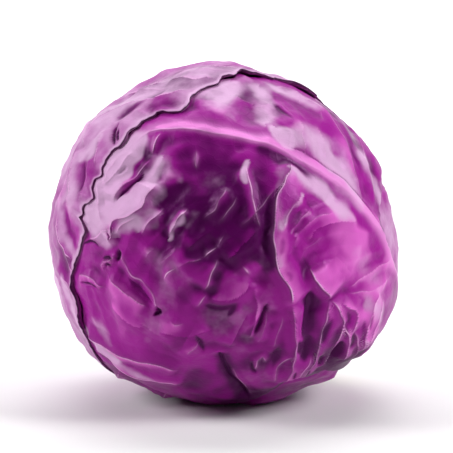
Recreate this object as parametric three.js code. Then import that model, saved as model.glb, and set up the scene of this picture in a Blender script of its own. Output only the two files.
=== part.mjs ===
// A head of red cabbage lying on its side, built the way it grows: a tight heart, a cut stalk, and
// five wrapper leaves laid over each other in a spiral, each one a closed blade with two faces.
//
// Millimetres, +Z up. The origin is the middle of the small flat spot that the head rests on,
// straight below its centre. The stalk points back, to the right and down.
import * as THREE from 'three';

// ------------------------------------------------------------------ driving dimensions, mm

const HEAD_RADIUS = 76.8; // mean radius of the head over its outermost leaves
const CENTRE_HEIGHT = 72.0; // from the surface that it rests on up to its centre
// broad swellings round the Y axis: [how many to a turn, height, bearing of a crest in degrees]
const SWELLINGS = [[2, 1.5, -41], [3, 2.2, -75], [4, 0.9, -137], [6, 0.9, -154]];

const BLADE = 1.1; // thickness of a leaf blade
const BASE_EXTRA = 1.2; // added thickness where a leaf joins the stalk
const LEAF_GAP = 1.0; // clearance under the back and the front leaf
const INNER_GAP = 1.5; // clearance under the leaves further in, whose grids are coarser
const MARGIN_LIP = 1.5; // a leaf's room reaches this far past its margin
const MARGIN_FADE = 11; // past its margin, the leaves below rise to the surface over this length

const STALK_DIRECTION = new THREE.Vector3(0.656, 0.431, -0.621).normalize();
const STALK_RADIUS = 14.5; // at the cut face
const STALK_NECK = 12.5; // between the leaf bases
const STALK_END = 79.5; // from the head's centre to the cut face
const STALK_COLLAR = 19; // radius of the disc that the leaves grow from
const HEART_FLAT = 57; // from the head's centre to the flat that the collar stands on
const HEART_CLEARANCE = 3; // between the heart and the deepest wrapper leaf
const TOUCH_GAP = 0.4; // between two pieces that meet

const FIRST_MIDRIB = new THREE.Vector3(0.7173, -0.6113, 0.3342); // how the front leaf leaves the stalk
const LEAF_TURN = 142.5; // degrees round the stalk from one leaf to the next
const TAB_START = 13.5; // degrees from the stalk's axis to the end of each leaf's base

const DENT_DEPTH = 2.6; // room under the part of a leaf that shows, for its furrows
const DENT_FADE = 12; // folds and unevenness die out over this distance from a margin
const RUFFLE_HEIGHT = 1.3; // how far the margins that show lift off the leaf below, in waves
const RUFFLE_WIDTH = 5; // how far in from the margin they lift

// ------------------------------------------------------------------ small helpers

const degrees = THREE.MathUtils.radToDeg;
const radians = THREE.MathUtils.degToRad;
const smooth = THREE.MathUtils.smoothstep;
const bell = (x, width) => Math.exp(-((x / width) ** 2));
const turnBetween = (a, b) => THREE.MathUtils.euclideanModulo(a - b + 180, 360) - 180;

// ------------------------------------------------------------------ the leaves

// Outlines are seen from outside the leaf's middle: [bearing, reach] in degrees, where bearing 180
// points at the stalk and the reach is the angle at the head's centre from the middle to the margin.
const BACK_OUTLINE = [
  [-170, 82], [-160, 78], [-150, 76.5], [-141, 79.5], [-130, 78], [-120, 82.5], [-110, 82],
  [-99, 88], [-88, 90], [-78, 95], [-70, 96.5], [-59, 98], [-48, 93],
  [-42, 95], [-36, 98.5], [-31, 94.5], [-25, 97.5], [-20, 95], [-15, 98], [-6, 97], [2, 96],
  [8, 95.5], [14, 95.5], [18, 98], [22, 102.5], [27, 99], [33, 96.5], [39, 94.5], [43, 96.5],
  [50, 92.5], [64, 94], [78, 97], [90, 95], [101, 96.5], [111, 90], [121, 90], [131, 84],
  [141, 83.5], [150, 78.5], [160, 77.5], [170, 82],
];
const FRONT_OUTLINE = [
  [-171, 71.5], [-166, 66.5], [-159, 62.5], [-153, 63.5], [-148, 70], [-142, 84], [-134, 90],
  [-125, 95],
  [-107, 94], [-93, 88], [-79, 81], [-64, 71], [-50, 63], [-31, 63], [-8, 61], [8, 64],
  [22, 69], [34, 75], [46, 80], [56, 77.5], [65, 71], [74, 69.5], [84, 74], [96, 83],
  [107, 85], [114, 78], [123, 68], [131, 60.5], [138, 65], [144, 68], [149, 84], [153, 104],
  [160, 106.5], [167, 102], [174, 93], [-178, 81],
];
// The leaves further in are round blades with a tab to the stalk and a waved margin.
const roundOutline = (blade, tab, waves) => {
  const points = [];
  for (let bearing = -180; bearing < 180; bearing += 10) {
    const notch = bell(turnBetween(bearing, 180), 24);
    const wave = 2.2 * Math.sin(radians(waves * bearing)) + 1.3 * Math.cos(radians(5 * bearing));
    points.push([bearing, blade + (tab - blade) * notch + wave * (1 - notch)]);
  }
  return points;
};

// along, across: where the leaf's middle lies, in degrees from the stalk along its midrib, and off it
const LEAVES = [
  { name: 'outer_leaf_back', turn: -1, along: 95, across: 0, cells: 26, outline: BACK_OUTLINE },
  { name: 'outer_leaf_front', turn: 0, along: 128, across: 34, cells: 38, outline: FRONT_OUTLINE },
  { name: 'outer_leaf_underside', turn: 1, along: 85, across: 0, cells: 22,
    outline: roundOutline(88, 85 - TAB_START, 7) },
  { name: 'outer_leaf_top_right', turn: 2, along: 85, across: 0, cells: 22,
    outline: roundOutline(92, 85 - TAB_START, 8) },
  { name: 'outer_leaf_base', turn: 3, along: 60, across: 0, cells: 20,
    outline: roundOutline(80, 60 - TAB_START, 6) },
];

// Folds of the front leaf: a crest (or, with a negative height, a furrow) along a line of points
// [degrees from the stalk along the midrib, degrees across it].
const FRONT_FOLDS = [
  { height: 1.7, width: 5.0, line: [[115, 5], [113, 24], [100, 38], [84, 46], [59, 53], [41, 57]] },
  { height: 1.0, width: 4.0, line: [[128, 2], [126, 14], [118, 27]] },
  { height: 1.4, width: 4.5, line: [[93, 31], [80, 33]] },
  { height: 1.8, width: 4.5, line: [[75, 33], [60, 35], [43, 33], [35, 34]] },
  { height: 1.6, width: 4.0, line: [[76, 33], [66, 42], [50, 50]] },
  { height: -1.9, width: 4.0, line: [[70, 34], [56, 38], [44, 44]] },
  { height: 1.6, width: 4.0, line: [[66, 28], [48, 29], [30, 25]] },
  { height: -1.7, width: 3.6, line: [[62, 31], [50, 31.5], [36, 29]] },
  { height: 1.3, width: 4.0, line: [[60, 22], [50, 24], [35, 24]] },
  { height: -2.1, width: 4.5, line: [[176, 42], [167, 53], [158, 61]] },
  { height: 1.6, width: 4.5, line: [[182, 48], [173, 54], [159, 59]] },
  { height: 1.3, width: 5.0, line: [[155, 22], [162, 29], [173, 34]] },
  { height: -1.2, width: 4.0, line: [[160, 11], [166, 19], [172, 27]] },
  { height: 1.4, width: 4.5, line: [[222, 56], [217, 65], [210, 72]] },
  { height: -2.0, width: 4.0, line: [[100, 70], [76, 74], [40, 72], [14, 63]] },
  { height: -1.3, width: 4.5, line: [[99, 46], [96, 53], [92, 60]] },
  { height: 0.9, width: 4.0, line: [[126, -22], [116, -12], [108, -3]] },
  { height: 0.9, width: 4.0, line: [[110, -31], [101, -21], [92, -5]] },
];

// A leaf's own frame: its midrib runs from the stalk towards `rib`, with `side` square to both.
const place = (leaf) => {
  const first = FIRST_MIDRIB.clone();
  first.addScaledVector(STALK_DIRECTION, -first.dot(STALK_DIRECTION)).normalize();
  leaf.rib = first.applyAxisAngle(STALK_DIRECTION, radians(leaf.turn * LEAF_TURN));
  leaf.side = STALK_DIRECTION.clone().cross(leaf.rib);
  leaf.middle = fromRib(leaf, leaf.along, leaf.across);
  leaf.outward = STALK_DIRECTION.clone().multiplyScalar(-Math.sin(radians(leaf.along)));
  leaf.outward.addScaledVector(leaf.rib, Math.cos(radians(leaf.along)));
  leaf.sideways = leaf.middle.clone().cross(leaf.outward);
  leaf.outline.sort((p, q) => p[0] - q[0]);
};

// Unit vector at `a` degrees from the stalk along the midrib and `b` degrees across it, and back.
const fromRib = (leaf, a, b) => {
  const along = STALK_DIRECTION.clone().multiplyScalar(Math.cos(radians(a)));
  along.addScaledVector(leaf.rib, Math.sin(radians(a))).multiplyScalar(Math.cos(radians(b)));
  return along.addScaledVector(leaf.side, Math.sin(radians(b)));
};
const toRib = (leaf, d) => [
  (degrees(Math.atan2(d.dot(leaf.rib), d.dot(STALK_DIRECTION))) + 360) % 360,
  degrees(Math.asin(THREE.MathUtils.clamp(d.dot(leaf.side), -1, 1))),
];

// The outline's reach at a bearing, on a smooth curve through its points.
const marginReach = (leaf, anyBearing) => {
  const bearing = turnBetween(anyBearing, 0);
  const points = leaf.outline;
  const count = points.length;
  let next = points.findIndex((point) => point[0] > bearing);
  if (next < 0) next = 0;
  const at = (k) => points[(next + k + 2 * count) % count];
  const span = (k) => THREE.MathUtils.euclideanModulo(at(k + 1)[0] - at(k)[0], 360);
  const [r0, r1, r2, r3] = [at(-2)[1], at(-1)[1], at(0)[1], at(1)[1]];
  const width = span(-1);
  const t = THREE.MathUtils.euclideanModulo(bearing - at(-1)[0], 360) / width;
  const slopeStart = ((r2 - r0) / (span(-2) + width)) * width;
  const slopeEnd = ((r3 - r1) / (width + span(0))) * width;
  const bend = r1 * (1 + 2 * t) * (1 - t) ** 2 + r2 * t * t * (3 - 2 * t);
  return bend + slopeStart * t * (1 - t) ** 2 - slopeEnd * t * t * (1 - t);
};

// Distance in mm from a direction out to the leaf's margin: negative inside the leaf. Where the
// margin runs aslant, it is nearer than it is straight out from the leaf's middle.
const pastMargin = (leaf, d) => {
  const reach = Math.acos(THREE.MathUtils.clamp(d.dot(leaf.middle), -1, 1));
  const bearing = degrees(Math.atan2(d.dot(leaf.sideways), d.dot(leaf.outward)));
  const slant = (marginReach(leaf, bearing + 2) - marginReach(leaf, bearing - 2)) / 4;
  const straightOut = reach - radians(marginReach(leaf, bearing));
  return (straightOut * HEAD_RADIUS) / Math.hypot(1, slant / Math.max(Math.sin(reach), 0.3));
};

// ------------------------------------------------------------------ the head's surface

const envelope = (d) => {
  const ring = Math.hypot(d.x, d.z);
  const bearing = Math.atan2(d.z, d.x);
  let radius = HEAD_RADIUS;
  for (const [count, height, crest] of SWELLINGS) {
    radius += height * ring ** count * Math.cos(count * bearing - radians(crest));
  }
  return radius;
};

// Unevenness that every leaf has, longer than two cells of its grid.
const unevenness = (d, seed) => {
  const u = Math.sin(9.1 * d.x + 5.3 * d.y + 1.7 * seed) * Math.cos(8.3 * d.z - 4.1 * d.x + seed);
  const v = Math.sin(13.7 * d.z + 6.1 * d.y - seed) * Math.cos(11.9 * d.y - 7.3 * d.x + 2 * seed);
  return 0.8 * u + 0.6 * v;
};

// Ribs: the midrib, highest at the stalk, and side veins that sweep from it towards the tip.
const ribs = (a, b) => {
  const taper = 1 - smooth(a, 60, 175);
  const midrib = (1.3 + 1.7 * taper) * bell(b, 2.6 + 1.6 * taper);
  const sideVeins = Math.cos(radians((a - 0.85 * Math.abs(b)) * 20));
  return midrib + 0.7 * sideVeins * smooth(Math.abs(b), 5, 14) * (1 - smooth(Math.abs(b), 50, 75));
};

const foldHeight = (leaf, d, fold) => {
  const point = d.clone().multiplyScalar(HEAD_RADIUS);
  const near = new THREE.Vector3();
  let nearest = Infinity;
  let fromStart = 0;
  let length = 0;
  fold.path ??= fold.line.map(([a, b]) => fromRib(leaf, a, b).multiplyScalar(HEAD_RADIUS));
  for (let k = 1; k < fold.path.length; k += 1) {
    const step = new THREE.Line3(fold.path[k - 1], fold.path[k]);
    step.closestPointToPoint(point, true, near);
    const distance = near.distanceTo(point);
    if (distance < nearest) {
      nearest = distance;
      fromStart = length + near.distanceTo(fold.path[k - 1]);
    }
    length += step.distance();
  }
  const toEnd = Math.min(fromStart, length - fromStart);
  return fold.height * bell(nearest, fold.width) * (0.45 + 0.55 * smooth(toEnd, 0, 8));
};

const relief = (leaf, d) => {
  const [a, b] = toRib(leaf, d);
  let height = ribs(a, b) + unevenness(d, leaf.turn);
  if (leaf.turn === 0) {
    for (const fold of FRONT_FOLDS) height += foldHeight(leaf, d, fold);
  }
  return THREE.MathUtils.clamp(height, -DENT_DEPTH, 3.2);
};

// The margin lifts off the leaf below in waves, where nothing lies over it.
const ruffle = (leaf, d, past) => {
  const bearing = Math.atan2(d.dot(leaf.sideways), d.dot(leaf.outward));
  const wave = 0.5 + 0.3 * Math.sin(11 * bearing) + 0.2 * Math.sin(19 * bearing + 1);
  return RUFFLE_HEIGHT * wave * bell(past, RUFFLE_WIDTH);
};

const bladeThickness = (d) => BLADE + BASE_EXTRA * (1 - smooth(degrees(d.angleTo(STALK_DIRECTION)), 14, 40));

// How far leaf `layer` lies below the outermost surface, and how much of its relief shows there.
const underLeaves = (layer, d) => {
  let depth = 0;
  let shown = 1;
  for (const above of LEAVES.slice(0, layer)) {
    const past = pastMargin(above, d);
    const cover = 1 - smooth(past, MARGIN_LIP, MARGIN_LIP + MARGIN_FADE);
    depth += cover * ((above.turn < 1 ? LEAF_GAP : INNER_GAP) + bladeThickness(d));
    depth += shown * DENT_DEPTH * smooth(-past, 0, DENT_FADE);
    shown *= 1 - cover;
  }
  return [depth, shown];
};

// Nothing reaches below the flat spot.
const aboveGround = (radius, d) => (d.z < 0 ? Math.min(radius, CENTRE_HEIGHT / -d.z) : radius);

const leafRadius = (layer, d) => {
  const leaf = LEAVES[layer];
  const [depth, shown] = underLeaves(layer, d);
  const past = pastMargin(leaf, d);
  const height = relief(leaf, d) * smooth(-past, 0, DENT_FADE) + ruffle(leaf, d, past);
  return aboveGround(envelope(d) + height * shown, d) - depth;
};

// ------------------------------------------------------------------ solids

const solid = (vertices, triangles) => {
  const geometry = new THREE.BufferGeometry();
  const positions = vertices.flatMap((v) => [v.x, v.y, v.z]);
  geometry.setAttribute('position', new THREE.Float32BufferAttribute(positions, 3));
  geometry.setIndex(triangles.flat());
  geometry.computeVertexNormals();
  return geometry;
};

// A point of the square [-1, 1] x [-1, 1], moved to the unit disc as [radius, bearing in degrees].
const squareToDisc = (u, v) => {
  if (u === 0 && v === 0) return [0, 0];
  if (Math.abs(u) >= Math.abs(v)) return [Math.abs(u), 45 * (v / u) + (u < 0 ? 180 : 0)];
  return [Math.abs(v), 90 - 45 * (u / v) + (v < 0 ? 180 : 0)];
};

// A grid point's direction from the head's centre. Cells are drawn together along the midrib.
const gridDirection = (leaf, u, v) => {
  const [part, turned] = squareToDisc(u, v);
  const bearing = turnBetween(turned, 0);
  const reach = radians(part * marginReach(leaf, bearing));
  const d = leaf.middle.clone().multiplyScalar(Math.cos(reach));
  d.addScaledVector(leaf.outward, Math.sin(reach) * Math.cos(radians(bearing)));
  d.addScaledVector(leaf.sideways, Math.sin(reach) * Math.sin(radians(bearing)));
  const [a, b] = toRib(leaf, d);
  return part < 1 ? fromRib(leaf, a, b * (1 - 0.4 * bell(b, 8) * (1 - part))) : d;
};

// Both faces of a blade use one grid, split into triangles alike, and a strip closes the margin.
const leafGeometry = (layer) => {
  const leaf = LEAVES[layer];
  const n = leaf.cells;
  const outer = [];
  const inner = [];
  for (let j = 0; j <= n; j += 1) {
    for (let i = 0; i <= n; i += 1) {
      const d = gridDirection(leaf, (2 * i) / n - 1, (2 * j) / n - 1);
      const radius = leafRadius(layer, d);
      outer.push(d.clone().multiplyScalar(radius));
      inner.push(d.clone().multiplyScalar(radius - bladeThickness(d)));
    }
  }
  const faces = [];
  const under = outer.length;
  const at = (i, j) => j * (n + 1) + i;
  for (let j = 0; j < n; j += 1) {
    for (let i = 0; i < n; i += 1) {
      const [p, q, r, s] = [at(i, j), at(i + 1, j), at(i + 1, j + 1), at(i, j + 1)];
      const rising = (i < n / 2) === (j < n / 2);
      const pair = rising ? [[p, q, r], [p, r, s]] : [[p, q, s], [q, r, s]];
      for (const [x, y, z] of pair) faces.push([x, y, z], [under + x, under + z, under + y]);
    }
  }
  const edge = [];
  for (let i = 0; i < n; i += 1) edge.push(at(i, 0));
  for (let j = 0; j < n; j += 1) edge.push(at(n, j));
  for (let i = n; i > 0; i -= 1) edge.push(at(i, n));
  for (let j = n; j > 0; j -= 1) edge.push(at(0, j));
  edge.forEach((p, k) => {
    const q = edge[(k + 1) % edge.length];
    faces.push([p, under + p, under + q], [p, under + q, q]);
  });
  return solid([...outer, ...inner], faces);
};

// The heart: one ball of tight inner leaves, just under the wrapper leaves, flat below the stalk.
const heartGeometry = () => {
  const ball = new THREE.IcosahedronGeometry(1, 5);
  const seen = new Map();
  const vertices = [];
  const corners = [];
  const position = ball.getAttribute('position');
  for (let k = 0; k < position.count; k += 1) {
    const d = new THREE.Vector3().fromBufferAttribute(position, k).normalize();
    const key = [d.x, d.y, d.z].map((x) => Math.round(x * 1e4)).join();
    if (!seen.has(key)) {
      seen.set(key, vertices.length);
      const depth = underLeaves(LEAVES.length, d)[0] + HEART_CLEARANCE;
      const toFlat = d.dot(STALK_DIRECTION);
      const radius = aboveGround(envelope(d), d) - depth;
      vertices.push(d.multiplyScalar(toFlat > 0.1 ? Math.min(radius, HEART_FLAT / toFlat) : radius));
    }
    corners.push(seen.get(key));
  }
  const faces = [];
  for (let k = 0; k < corners.length; k += 3) faces.push(corners.slice(k, k + 3));
  return solid(vertices, faces);
};

// The stalk: a collar on the heart's flat, and a short stump with a slightly domed cut face.
const stalkGeometry = () => {
  const foot = HEART_FLAT + TOUCH_GAP;
  const profile = [
    [0, foot], [STALK_COLLAR, foot], [STALK_COLLAR, foot + 1.5], [STALK_NECK, foot + 4],
    [STALK_NECK, foot + 12], [STALK_RADIUS, STALK_END - 1.2], [STALK_RADIUS - 1, STALK_END],
    [0, STALK_END + 0.6],
  ].map(([x, y]) => new THREE.Vector2(x, y));
  const sides = 24;
  const vertices = [new THREE.Vector3(0, profile[0].y, 0)];
  const rings = profile.slice(1, -1);
  rings.forEach(({ x, y }, ring) => {
    for (let k = 0; k < sides; k += 1) {
      const turn = (k / sides) * 2 * Math.PI;
      const ridge = ring > 2 ? 1 + 0.03 * Math.sin(5 * turn) : 1;
      vertices.push(new THREE.Vector3(x * ridge * Math.cos(turn), y, -x * ridge * Math.sin(turn)));
    }
  });
  vertices.push(new THREE.Vector3(0, profile.at(-1).y, 0));
  const faces = [];
  const last = vertices.length - 1;
  const at = (ring, k) => 1 + ring * sides + (k % sides);
  for (let k = 0; k < sides; k += 1) {
    faces.push([0, at(0, k + 1), at(0, k)]);
    for (let ring = 0; ring + 1 < rings.length; ring += 1) {
      faces.push([at(ring, k), at(ring, k + 1), at(ring + 1, k + 1)]);
      faces.push([at(ring, k), at(ring + 1, k + 1), at(ring + 1, k)]);
    }
    faces.push([last, at(rings.length - 1, k), at(rings.length - 1, k + 1)]);
  }
  return solid(vertices, faces);
};

// ------------------------------------------------------------------ materials

const waxyLeaf = (color) => new THREE.MeshStandardMaterial({ color, roughness: 0.38, metalness: 0 });
const LEAF_COLOURS = ['#7d3a86', '#8c1f7c', '#6f2468', '#8a3a86', '#8f5a8e'];
const cutStalk = new THREE.MeshStandardMaterial({ color: '#d9cdbb', roughness: 0.7, metalness: 0 });
const innerLeaf = new THREE.MeshStandardMaterial({ color: '#a0609c', roughness: 0.5, metalness: 0 });

// ------------------------------------------------------------------ the assembly

const head = new THREE.Group();
head.position.z = CENTRE_HEIGHT;

const addPiece = (name, geometry, material) => {
  const mesh = new THREE.Mesh(geometry, material);
  mesh.name = name;
  head.add(mesh);
  return mesh;
};

LEAVES.forEach(place);
LEAVES.forEach((leaf, layer) => {
  addPiece(leaf.name, leafGeometry(layer), waxyLeaf(LEAF_COLOURS[layer]));
});
addPiece('heart', heartGeometry(), innerLeaf);
const stalk = addPiece('stalk', stalkGeometry(), cutStalk);
stalk.quaternion.setFromUnitVectors(new THREE.Vector3(0, 1, 0), STALK_DIRECTION);

const cabbage = new THREE.Group();
cabbage.add(head);
export default cabbage;
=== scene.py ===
"""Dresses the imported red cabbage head: wrapper leaves with ribs, puckers, folds and ragged margins,
the cut stalk, and a plain pale stage. It is laid out as an add-on and run as a script."""

import math

import bpy
import numpy as np
from bpy.props import FloatProperty, FloatVectorProperty, IntProperty, PointerProperty
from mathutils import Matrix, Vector


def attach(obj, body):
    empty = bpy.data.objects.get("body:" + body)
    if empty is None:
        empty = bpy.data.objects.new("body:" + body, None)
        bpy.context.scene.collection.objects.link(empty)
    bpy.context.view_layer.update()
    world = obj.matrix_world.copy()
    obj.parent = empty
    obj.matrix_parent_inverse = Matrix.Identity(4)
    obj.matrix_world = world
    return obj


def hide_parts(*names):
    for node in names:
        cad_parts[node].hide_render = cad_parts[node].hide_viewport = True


bl_info = {
    "name": "Red cabbage head",
    "version": (1, 0, 0),
    "blender": (4, 5, 0),
    "location": "3D View > Sidebar > Cabbage",
    "description": "Makes the leaves, the stalk and the stage of a red cabbage head",
    "category": "Object",
}

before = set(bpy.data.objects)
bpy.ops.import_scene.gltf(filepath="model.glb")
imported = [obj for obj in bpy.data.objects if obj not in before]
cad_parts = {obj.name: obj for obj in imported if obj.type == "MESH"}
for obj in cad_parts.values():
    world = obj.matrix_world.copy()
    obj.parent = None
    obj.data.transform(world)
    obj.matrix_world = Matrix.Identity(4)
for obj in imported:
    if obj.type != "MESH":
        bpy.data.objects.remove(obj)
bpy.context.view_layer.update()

# ------------------------------------------------------------------ driving dimensions
# Lengths are in millimetres and angles in degrees, up to the meshes, which are made in metres.

METRES = 0.001
HEAD_RADIUS = 76.8
CENTRE_HEIGHT = 72.0
# broad swellings round the Y axis: (how many to a turn, height, bearing of a crest)
SWELLINGS = [(2, 1.5, -41), (3, 2.2, -75), (4, 0.9, -137), (6, 0.9, -154)]

STALK_DIRECTION = np.array([0.656, 0.431, -0.621])
FIRST_MIDRIB = np.array([0.7173, -0.6113, 0.3342])
LEAF_TURN = 142.5  # round the stalk from one leaf to the next
TAB_START = 13.5  # from the stalk's axis to the end of each leaf's base
# from the collar's inner face out to the cut face: (radius, distance from the head's centre)
STALK_PROFILE = [
    (0, 57.4), (19, 57.4), (19, 58.9), (12.8, 61.5), (12.4, 66), (12.6, 70), (13.4, 74), (14.2, 77),
    (14.4, 78.2), (14.0, 79.2), (13.2, 79.6), (12, 79.5), (10, 79.7), (8.5, 79.9), (7, 79.7), (5, 79.8),
    (3, 79.9), (1.4, 79.8), (0, 79.9),
]
SAW_MARKS_FROM = 79.0
SKIN_UP_TO = 79.3

MARGIN_LIP = 0.4  # a leaf's room reaches this far past its margin
MARGIN_FADE = 6.0  # past that, the leaves below rise to the surface over this length
MARGIN_BLADE = 0.6  # a blade's thickness at its margin
MARGIN_THINS = 6.0  # the blade thins to that over this length
BASE_EXTRA = 1.2  # added thickness where a leaf joins the stalk
BASE_REACH = (14, 40)  # it fades out between these angles from the stalk's axis
RUFFLE_HEIGHT = 0.15
RUFFLE_WIDTH = 3.0
CRACK_WIDTH = 3.5  # how far in from the crack the back leaf's margin lifts

INNER_STEP = 5  # cells of a leaf's outer face along one cell of its inner face
BLUR_SHARE = 34  # hollows are found against an average over this fraction of the leaf's grid
# the darkening of hollows is painted shade
HOLLOW_DEPTHS = (0.3, 2.0)  # a hollow darkens between these depths
EDGE_OUT = 0.22  # degrees from the outer face's last vertices to the rounded edge's

RELIEF_ROOM = 4.0  # the deepest that a leaf's relief goes
RELIEF_TOP = 3.6  # the highest
RELIEF_FADE = 5.0  # the relief dies out over this distance from the margin
STROKE_REACH = 2.4  # crests and folds end this many widths from their line
FURROW_REACH = 2.6
PATCH_REACH = 1.9
CREST_ROUNDING = 0.4  # of its sharp top
CREST_STEEPNESS = 1.4
NO_LINE = 9.0  # distance to a line where none is near
HAIRLINE_REACH = (1.0, 2.0)  # a hairline's strength fades out between these distances from it
HAIRLINE_FURROW = 1.2  # furrows up to this width get a dark hairline
WANDER = 0.35  # strokes stray this far from their lines
RIPPLE_WAVES = 14  # waves in a ripple
CELL_SCRAMBLE = ((12.7, 31.2, 4375.85), (26.9, 18.3, 2463.46))  # draws a place in each cell

# The camera, and the place of the head's centre in its square picture.
IMAGE_SIZE = 453
PIXEL = 0.4454  # mm at the head's centre
HEAD_PIXEL = (223.6, 237.0)
CAMERA_DISTANCE = 900.0
CAMERA_ELEVATION = 8.0
SENSOR_WIDTH = 36.0
RIB_RAISED = 1.4  # the midrib's height where its line is cast onto it

# The stage, in metres: a floor that bends up into a backdrop, and lights as
# (name, place, aim, width, height, watts, spread in degrees).
SWEEP_HALF_WIDTH = 3.0
SWEEP_FRONT = -2.5
SWEEP_DEPTH = 1.6
SWEEP_BEND = 0.8
SWEEP_TOP = 2.6
SWEEP_STEPS = 16
HEAD_CENTRE = (0.0, 0.0, CENTRE_HEIGHT * METRES)
LIGHTS = [
    ("overhead softbox", (0.08, 0.42, 1.12), (0.0, 0.22, 0.05), 0.9, 0.7, 0.44, 50),
    ("floor light", (0.0, 1.5, 1.7), (0.0, 1.45, 0.0), 2.0, 1.6, 16, 90),
    ("left softbox", (-0.95, -0.12, 0.62), HEAD_CENTRE, 0.4, 0.6, 0.95, 50),
    ("right softbox", (0.85, -0.32, 0.70), HEAD_CENTRE, 0.4, 0.4, 0.86, 50),
    ("backdrop light", (0.0, 0.6, 2.2), (0.0, 2.2, 0.6), 2.0, 0.6, 32, 160),
]
ROOM_LIGHT = 0.06

# ------------------------------------------------------------------ places on the side that shows
# Pixels of the square picture, as x, y, x, y and so on. The camera casts each line onto the head.

CRACK = [
    316, 97, 304, 89.5, 293, 83.5, 286, 81, 275, 78, 263, 76, 252, 75.5, 247, 74, 242, 70.5, 236.6, 73.5,
    235, 77, 221, 77.5, 218.6, 83, 211, 85, 204, 87, 197, 89.5, 191.5, 95, 189.5, 104, 184, 109.5, 180, 111.3,
    168, 112.3, 155.5, 112, 154.5, 116, 144, 121, 137, 126, 131, 131, 124.5, 139, 121, 146, 116, 147.6,
    113.6, 147, 110, 153, 104.5, 160, 101.5, 169, 101, 176, 94, 177.8, 91.5, 186, 92.5, 197, 88.6, 203,
    81.5, 206.5, 82, 213, 78, 217, 82.5, 221, 86, 230.5, 86, 236, 82.5, 242, 79, 253, 74.6, 263, 73, 278,
    72.5, 288, 76, 294, 79.5, 301, 81, 311, 82.3, 325, 85.5, 336, 89, 345,
]
# (pixel, how far round it in mm, how much the back leaf's margin stands off there in mm)
CRACK_LIFTS = [
    ((80, 314), 9, 2.2), ((250, 74), 7, 1.8), ((226, 76), 4, 1.2), ((303, 89), 9, 1.6), ((190, 101), 5, 0.8),
    ((160, 113), 6, 0.6), ((128, 136), 7, 0.9), ((86, 232), 5, 0.9), ((76, 265), 6, 0.8), ((74, 286), 5, 1.0),
]
RIB_LINE = [
    128, 147, 138, 138, 150, 131, 175, 129, 200, 129, 226.8, 133, 245.5, 137, 267, 143.7, 293.7, 155.8,
    313.8, 166.5, 333.9, 180, 351.3, 194.6, 363.4, 210.7, 375.4, 225.4, 385, 242.8, 391, 262.6,
]
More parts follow.
